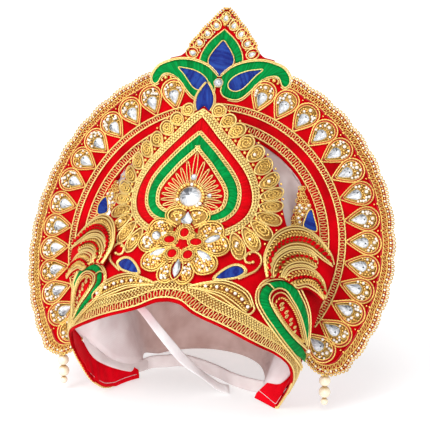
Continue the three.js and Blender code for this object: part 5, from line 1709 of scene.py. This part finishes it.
lower = [cord(band, lace_row(row), 0.6, 0.1) for row in (1.6, 8, 14.4)]
lower.append(chain(band, lace_row(4.8), 2.6, 4.2, 0.44, 0.29, 0.1))
lower_base = [strip(band, lace_row(8.1), lace_row(1.5), 0.02)]
shade_base.append(strip(band, lace_row(14.5), lace_row(7.9), 0.05))
for offset, width in ((9.8, 2.8), (12.7, 2.8)):
    lower.append(ears(band, lace_row(offset), width, 2.6, 0.7, 0.7, 0.3))
make("band_gold_lace", lower, PALE_GOLD, ["band_lower_lace"])
make("band_lace_backing", lower_base, WINE_BACKING)
make("shade_backings", shade_base, SHADE_BACKING)
PIPING_RADIUS, TRIM_RADIUS = 1, 1.2
piping_angles = np.linspace(-86, 86, 220)
piping = np.stack([piping_angles, foot_z(piping_angles) + 0.3], -1)
place, normal = on(band_degrees, piping, -0.6)
make("band_red_piping", [sweep(grounded(place, PIPING_RADIUS * MM), normal, PIPING_RADIUS, 8)], RED_CLOTH)
flap_stitches = []
trim_cords = []
for side, first, last in ((1, 84, 133), (-1, 71, 127)):
    degrees = np.linspace(first, last, 60)
    foot = np.stack([degrees, foot_z(side * degrees) + 0.3], -1)
    share = np.linspace(0, 1, 12)[1:, None]
    top = np.array([band_high(last) + 0.2, band_high_z(last) * (0.75 + 0.25 * side)])
    upright = foot[-1] + [[0.2, 0]] + (top - foot[-1]) * share
    trim, fold = flap_fold(handed(spread(np.concatenate([foot, upright]), 130), side))
    swell = 1.0 + 0.18 * np.cos(np.arange(130) * np.pi / 2)
    place, normal = on(band_degrees, trim, fold - 0.2)
    trim_cords.append(sweep(grounded(place, TRIM_RADIUS * MM), normal, swell, 7))
    degrees = np.linspace(first + 10, last - 1.8, 50)
    seam, fold = flap_fold(handed(np.stack([degrees, foot_z(side * degrees) + 2.3], -1), side))
    flap_stitches.append(sweep(*on(band_degrees, seam, fold - CLOTH - 0.55), 0.24, 6))
make("flap_gold_trim", trim_cords, PALE_GOLD)
make("flap_white_stitches", flap_stitches, WHITE_THREAD)
make("band_cords", band_cords, PALE_GOLD)
make("crest_cords", crest_cords, PALE_GOLD)
make("crest_white_beads", crest_white + rose_white, WHITE_BEAD)
make("crest_amber_beads", crest_amber + rose_amber, GOLD_BEAD)


# ---- the wings ----

WING_LEAVES = [
    (
        [
            (-13.6, 105.4), (-14.6, 110), (-14.5, 116), (-10.8, 122), (-5, 127.5), (3.8, 131),
            (14.1, 131.8), (24, 129.6), (32.7, 124.6), (40, 117.6), (45.4, 110.3), (47, 104.7),
        ],
        [
            (-9.8, 105), (-10.4, 107.4), (-9.6, 110.8), (-6.3, 114.9), (-0.6, 118), (7.8, 119.7),
            (17.1, 118.9), (26.1, 115.8), (31.4, 112), (37.1, 108.3), (45.6, 103.8),
        ],
    ),
    (
        [
            (-9.4, 104.8), (-9.9, 107.2), (-9, 110.4), (-5.6, 114.4), (0.2, 117.2), (8, 118.7),
            (17, 117.8), (25.4, 114.9), (30.3, 110.9), (30.6, 107.4),
        ],
        [(-0.6, 103.8), (0.6, 106), (4.3, 108.6), (13.3, 109.3), (21.5, 107.6), (27.4, 105.2), (30, 106)],
    ),
    (
        [
            (0.2, 103.6), (4.1, 107.6), (13.3, 108.4), (21.5, 106.8), (28.8, 103.6), (35.4, 98.9),
            (41.6, 93.8), (44.5, 89.8), (45, 87.2),
        ],
        [(10, 98.4), (13, 96.6), (16, 95.9), (21.6, 96), (29, 93.8), (36.7, 90.8), (44, 86.8)],
    ),
]
WING_SHAPE = [
    (-15, 114, -14, 105), (-11.4, 121.8, -7, 104.4), (-5.2, 127.8, 0, 103.2), (4.6, 131.4, 7.6, 99.6),
    (14.1, 132.2, 15, 95.8), (24.4, 129.8, 24, 94.6), (33.6, 124.8, 31, 92.4), (41, 117.2, 37.4, 89.6),
    (46, 110.3, 42.6, 87), (47.6, 104.7, 46, 86.2),
]
for hand, side in HANDS:
    sheet = wing_sheet(side)
    if side < 0:
        sheet = lambda out, z: wing_sheet(-1)(
            0.96 * out + 5.2 - 0.0056 * np.clip(105 - z, 0, 20) * out, z + 1.6,
        )
    top = curve(handed(np.array(WING_SHAPE)[:, :2], side), 60)
    foot = curve(handed(np.array(WING_SHAPE)[:, 2:], side), 60)
    share = np.linspace(0, 1, 12)[:, None]
    places = top[:, None] + (foot - top)[:, None] * share
    make(f"wing_backing_{hand}", [layer(sheet, places, 2.9, 2.3)], RED_CLOTH)
    cords, ropes, red_lines, bases = [], [], [], []
    for number, (outer, inner) in enumerate(WING_LEAVES):
        a, b = curve(handed(outer, side), 70), curve(handed(inner, side), 70)
        base = (3.4, 3.2, 3)[number]
        bases.append(strip(sheet, a[3:66], b[3:66], base - 0.3))
        width = np.linalg.norm(a - b, axis=1).max()
        edge_share = 1.8 / width
        shares = [
            0, edge_share,
            *np.linspace(2 * edge_share + 0.02, 1 - 2 * edge_share, max(3, int((width - 5.6) / 2) + 1)),
            1 - edge_share, 1,
        ]
        for row, t in enumerate(shares):
            line = a + (b - a) * t
            inner_share = min(t, 1 - t)
            line = line[int(6 * inner_share) : 70 - int(16 * inner_share)]
            lift = base + 0.8 * math.sin(math.pi * t)
            if row < 2 or row >= len(shares) - 2:
                cords.append(cord(sheet, line, 0.66, lift))
            elif row == len(shares) // 2 or (number == 0 and row == len(shares) // 2 + 1):
                count = int(reach(line) / 3.6)
                red_lines.append(
                    grains(
                        sheet, spread(line, count), np.diff(spread(line, count + 1), axis=0), 1.7, 1.1,
                        lift + 0.2,
                    )
                )
            else:
                ropes.append(rope(sheet, line, 0.74, 2.7, lift - 0.2, 0.6 if row % 2 else -0.6))
    make(f"wing_cords_{hand}", cords, PALE_GOLD, [f"wing_{hand}"])
    make(f"wing_ropes_{hand}", ropes, GOLD)
    make(f"wing_leaf_shade_backing_{hand}", bases, SHADE_BACKING)
    make(f"wing_red_stitches_{hand}", red_lines, RED_CLOTH)


# ---- the cap, its strap and the pearl drops ----

# each column of the cap from its free edge to its crown: edge, low, middle and high places;
# a pair is an angle and a height on the inside of the band
CAP_FRONT = [
    ((0, 97.5), (0, 107), (0, -57, 117), (0, -22, 150)),
    ((20, 87.5), (20, 101), (29, -52, 117), (25, -18.5, 150)),
    ((40, 74.5), (40, 95), (54, -37, 117), (47, -7, 150)),
    ((58, 62), (58, 86), (67, -18, 117), (57, 8, 150)),
    ((74, 52), (78, -33, 78), (70, -3, 117), (62, 17, 150)),
    ((86, 40), (72.5, -28, 61), (72, 8, 117), (66, 25, 150)),
    ((100, 27), (71.5, -16, 60), (74, 16, 117), (67, 30, 150)),
    ((112, 12), (70, -4, 60), (78, 24, 117), (68, 34, 150)),
    ((124, 4.6), (67, 9, 60), (79, 30, 117), (68.5, 38, 150)),
]
CAP_REAR = [
    ((49, 8, 0), (68, 22, 60), (75, 40, 117), (64, 45, 150)),
    ((46, 28, 0), (61, 40, 60), (66, 52, 117), (56, 53, 150)),
    ((36, 53, 0), (46, 61, 60), (49, 66, 117), (42, 62, 150)),
    ((17, 71, 0), (22, 77, 60), (24, 77, 117), (21, 69.5, 150)),
    ((-8, 79, 0), (-6, 82, 60), (-4, 79.5, 117), (-3, 71, 150)),
    ((-32, 74, 0), (-33, 76, 60), (-32, 74.5, 117), (-27, 68, 150)),
    ((-50, 59, 0), (-54, 61, 60), (-55, 62, 117), (-47, 59.5, 150)),
    ((-57, 38, 7), (-66, 41, 60), (-69, 49, 117), (-59, 50, 150)),
    ((-52.6, 12, 9.6), (-68, 24, 60), (-76, 39, 117), (-65, 44, 150)),
]
CAP_TOP = (0, 52, 189)
CAP_CLOTH, CAP_GAP = 1.4, 3.35
# where the front columns meet the back of the disc beside its hole, by the angle from its top
CAP_SEAM, SEAM_RADIUS, SEAM_LIFT = (0, 15, 28, 39, 48, 56), 89, -3.8


def cap_place(place, side):
    if len(place) == 2:
        flat, fold = flap_fold(np.array([[side * place[0], place[1]]], float))
        return (on(band_degrees, flat, fold - CAP_GAP)[0][0]) / MM + ORIGIN
    return np.array([side * place[0], place[1], place[2]], float)


def cap_column(column, side):
    places = [cap_place(place, side) for place in column]
    if column in CAP_FRONT[: len(CAP_SEAM)]:
        seam = ray(side * CAP_SEAM[CAP_FRONT.index(column)], SEAM_RADIUS)[None]
        places.append(on(disc, seam, SEAM_LIFT)[0][0] / MM + ORIGIN)
    else:
        x, y, _ = places[-1]
        places[-1] = np.array([1.08 * x, 1.08 * (y - 38) + 38, 150])
        places.append(np.array([0.86 * x, 0.86 * (y - 48) + 50, 168]))
    return curve([*places, CAP_TOP], 41)


right_front = CAP_FRONT[:-2] + [((112, 14), *CAP_FRONT[-2][1:]), ((124, 10), *CAP_FRONT[-1][1:])]
left_hem = [(77.6, -27, 35), (67.4, -15, 20.5), (57, 0, 12)]
left_front = CAP_FRONT[:-3] + [(hem, *column[1:]) for hem, column in zip(left_hem, CAP_FRONT[-3:])]
cap_columns = [cap_column(column, 1) for column in right_front + CAP_REAR]
cap_columns += [cap_column(column, -1) for column in reversed(left_front[1:])]
cap = np.stack([curve(row, 240, True) for row in np.swapaxes(cap_columns, 0, 1)], 1)
along, up = np.roll(cap, -1, 0) - np.roll(cap, 1, 0), np.gradient(cap, axis=1)
cap_normal = unit(np.cross(along, up))
cap_normal[:, -1] = (0, 0, 1)
around, rise = np.meshgrid(full_turn(240), np.linspace(0, 1, 41), indexing="ij")
folds = 0.9 * np.sin(11 * around + 5 * rise) * np.sin(np.pi * rise) ** 2
folds = folds + 0.6 * np.sin(23 * around + 9 * np.sin(4 * rise + around)) * np.sin(np.pi * rise) ** 2
folds = np.minimum(folds, 0.4)
outer_cap = grounded((cap + cap_normal * folds[..., None] - ORIGIN) * MM)
inner_cap = grounded((cap + cap_normal * (folds - CAP_CLOTH)[..., None] - ORIGIN) * MM)
cap_lay = np.stack([around * 80, rise, 0 * rise], -1)
cap_piece = make("cap_cotton", [wall(outer_cap, inner_cap, cap_lay, True)], LINING, ["cap_lining"])

STRAP_ROUTE = [
    (-49.6, 20), (-46, 25), (-36, 29), (-25, 34), (-9, 28), (10, 15), (24, 3), (38, -5), (53.4, -9.8),
]
STRAP_HIGH, STRAP_THICK = 10.2, 1.2
strap_line = curve(STRAP_ROUTE, 70)
strap_square = sideways(strap_line)
levels = np.linspace(0, STRAP_HIGH, 8)
strap_faces = []
for offset in (STRAP_THICK / 2, -STRAP_THICK / 2):
    flat = np.broadcast_to((strap_line + strap_square * offset)[:, None], (70, 8, 2))
    tall = np.broadcast_to(levels[None, :, None], (70, 8, 1))
    strap_faces.append((np.concatenate([flat, tall], -1) - ORIGIN) * MM)
strap_lay = np.stack(
    np.meshgrid(np.linspace(0, 120, 70), np.linspace(0, 1, 8), indexing="ij") + [np.zeros((70, 8))], -1,
)
strap_piece = make("strap_cotton", [wall(*strap_faces, strap_lay)], WHITE_CLOTH, ["back_strap"])

PEARL_X, PEARL_Y = 100, -33
# each pearl of a string by its distance from the string's line, its height and its radius
PEARLS = np.array([(-1.7, 30.6, 1.75), (1.8, 30.2, 1.75), (0, 23.9, 4.3), (0, 15.2, 4.4), (0, 7.9, 2.8)])
for hand, side in HANDS:
    centre = np.stack([side * PEARL_X + PEARLS[:, 0], np.full(5, PEARL_Y), PEARLS[:, 1]], -1)
    upright = np.tile([[0, 0, 1]], (5, 1))
    pearls = balls((centre - ORIGIN) * MM, PEARLS[:, 2], upright, 20, 13)
    make(f"pearl_string_{hand}", [pearls], PEARL, [f"pearl_drop_{hand}"])
    thread = np.array([[side * PEARL_X, PEARL_Y, z] for z in np.linspace(5.2, 32.6, 12)])
    make(
        f"pearl_thread_{hand}",
        [sweep((thread - ORIGIN) * MM, np.tile([[0, -1, 0]], (12, 1)), 0.45, 6)], PALE_GOLD,
    )


# ---- the lining that rolls over the flaps ----

ROLL_ROUTE = [
    (-83.4, -34, 45), (-80.4, -30.6, 37), (-75, -24.6, 27), (-67, -14.6, 18.4), (-58.6, -3, 11.8),
    (-53.2, 8, 7.6), (-50.8, 15, 5.8), (-49.4, 21, 5.2),
]
roll_line = (curve(ROLL_ROUTE, 60) - ORIGIN) * MM
turn = np.clip(np.linspace(-1.2, 1, 60), 0, 1)[:, None]
roll_up = (1 - turn) * [[0.62, -0.46, 0.62]] + turn * [[0.8, -0.58, 0.1]]
roll_wide = 5.2 * np.sqrt(np.clip(np.linspace(0.02, 4, 60), 0, 1)) * (1 - 0.06 * turn[:, 0])
roll = sweep(roll_line, roll_up, roll_wide, 14, flat=0.26)
make("flap_lining_roll", [roll], WHITE_CLOTH)


# ---- blue corners and bead clusters beside the crest ----

corner_blue, corner_red, corner_white, corner_gold = [], [], [], []
# for each side: the corner of blue satin, and the patch that is packed with beads
CORNERS = {
    1: (
        [(80.2, 28), (82.6, 22.7), (85.4, 11.4), (79.8, 12), (75.6, 14.4), (76.4, 20.4), (78.2, 26.2)],
        [
            (69, 46), (68.9, 39), (68.7, 32.5), (67.5, 25.6), (65.8, 20.4), (62.4, 13.9), (66, 12),
            (74.3, 13.4), (75.4, 20.3), (77.6, 26.4), (79.6, 29), (77.9, 34), (76, 39), (73, 45),
        ],
    ),
    -1: (
        [(77.6, 29.4), (79.8, 28), (83.2, 22.5), (82.4, 15.6), (77.9, 15.4), (74.6, 17), (74.6, 21.5)],
        [
            (69, 43), (72, 43.4), (75, 38), (77.4, 31), (75.4, 27), (74, 21), (74.4, 16.6), (67, 16.4),
            (65, 21), (65.6, 28), (67, 33), (68.4, 38),
        ],
    ),
}
CORNER_LIFT = 7.0
for side, (blue, patch) in CORNERS.items():
    blue, patch = np.array(blue), np.array(patch)
    corner_blue.append(
        cushion(disc, handed(blue, side), CORNER_LIFT, 1.2, 6, handed(blue.mean(0), side), 1.2, (0.3, 1))
    )
    corner_gold.append(cord(disc, handed(blue, side), 0.5, CORNER_LIFT, closed=True))
    middle = patch.mean(0)
    corner_red.append(
        cushion(
            disc, handed(shrunk(patch, 0.84, middle), side), CORNER_LIFT - 1.4, 0.8, 3,
            handed(middle, side), 3,
        )
    )
    field = scattered(patch, 3.1, 0.24, 0.9)
    white = (chance.random(len(field)) > 0.5) & (field[:, 1] < 33)
    corner_white.append(beads(disc, handed(field[white], side), 1.15, CORNER_LIFT))
    corner_gold.append(beads(disc, handed(field[~white], side), 0.6, CORNER_LIFT, 7, 4))
    long, wide = np.tile([[1.7, 0.3]], (len(field), 1)), np.tile([[-0.3, 1.5]], (len(field), 1))
    corner_gold.append(loops(disc, handed(field, side), long, wide, 0.4, CORNER_LIFT - 0.2, 10))
    degrees = np.linspace(58, 86, 12)[:, None] * side
    places = ray(np.broadcast_to(degrees, (12, 5)), np.broadcast_to(np.linspace(84, 91, 5), (12, 5)))
    rise = np.broadcast_to(CORNER_LIFT * np.linspace(0.9, -0.05, 5) - 0.3, (12, 5))
    corner_red.append(layer(disc, places, rise, rise - 0.8))
make("corner_blue_satin", corner_blue, BLUE_SATIN)
make("corner_red_cloth", corner_red, RED_CLOTH)
make("corner_pearls", corner_white, WHITE_BEAD)
make("corner_gold_beads", corner_gold, GOLD)


# ---- floor and light ----

floor_mesh = bpy.data.meshes.new("floor")
floor_mesh.from_pydata([(-30, -30, 0), (30, -30, 0), (30, 30, 0), (-30, 30, 0)], [], [(0, 1, 2, 3)])
floor = new_object("floor", floor_mesh)
floor_finish = Finish("floor", (0.6, 0.6, 0.6), 0.7, emission_color=(1, 1, 1), emission_strength=0.52)
floor_mesh.materials.append(floor_finish.material)

world = bpy.data.worlds.new("world")
world.use_nodes = True
sky = world.node_tree.nodes["Background"]
sky.inputs["Color"].default_value = (1, 1, 1, 1)
w = Wiring(world.node_tree)
w.feed(sky.inputs["Strength"], w.span(w.node("LightPath").outputs["Is Camera Ray"], 0.0, 1.0, 0.58))
bpy.context.scene.world = world
bpy.context.scene.view_settings.view_transform = "Standard"


def soft_light(name, place, size, power, aim=(0, 0, 0.12)):
    """A square lamp that faces the crown."""
    data = bpy.data.lights.new(name, "AREA")
    data.size, data.energy = size, power
    lamp = new_object(name, data)
    lamp.location = place
    lamp.rotation_euler = (Vector(aim) - Vector(place)).to_track_quat("-Z", "Y").to_euler()


soft_light("key", (-0.7, -1.1, 1.2), 0.5, 7)
soft_light("front", (0.25, -1.7, 0.4), 1.0, 12, (0, 0, 0.08))
overhead_data = bpy.data.lights.new("overhead", "SUN")
overhead_data.energy, overhead_data.angle = 1.5, math.radians(50)
overhead = new_object("overhead", overhead_data)
overhead.rotation_euler = (math.radians(24), math.radians(-16), 0)

STUFFED = (
    "crest_red_satin", "crest_green_satin", "crest_blue_leaf", "rosette_red_pads", "flap_lining_roll",
)
STUFFED += ("finial_green_petals", "finial_blue_leaves", "corner_blue_satin")
SIDED = ("finial_green_paisley", "band_blue_leaf", "side_leaf_green", "side_leaf_red_heart")
STUFFED += tuple(f"{name}_{hand}" for name in SIDED for hand in ("right", "left"))
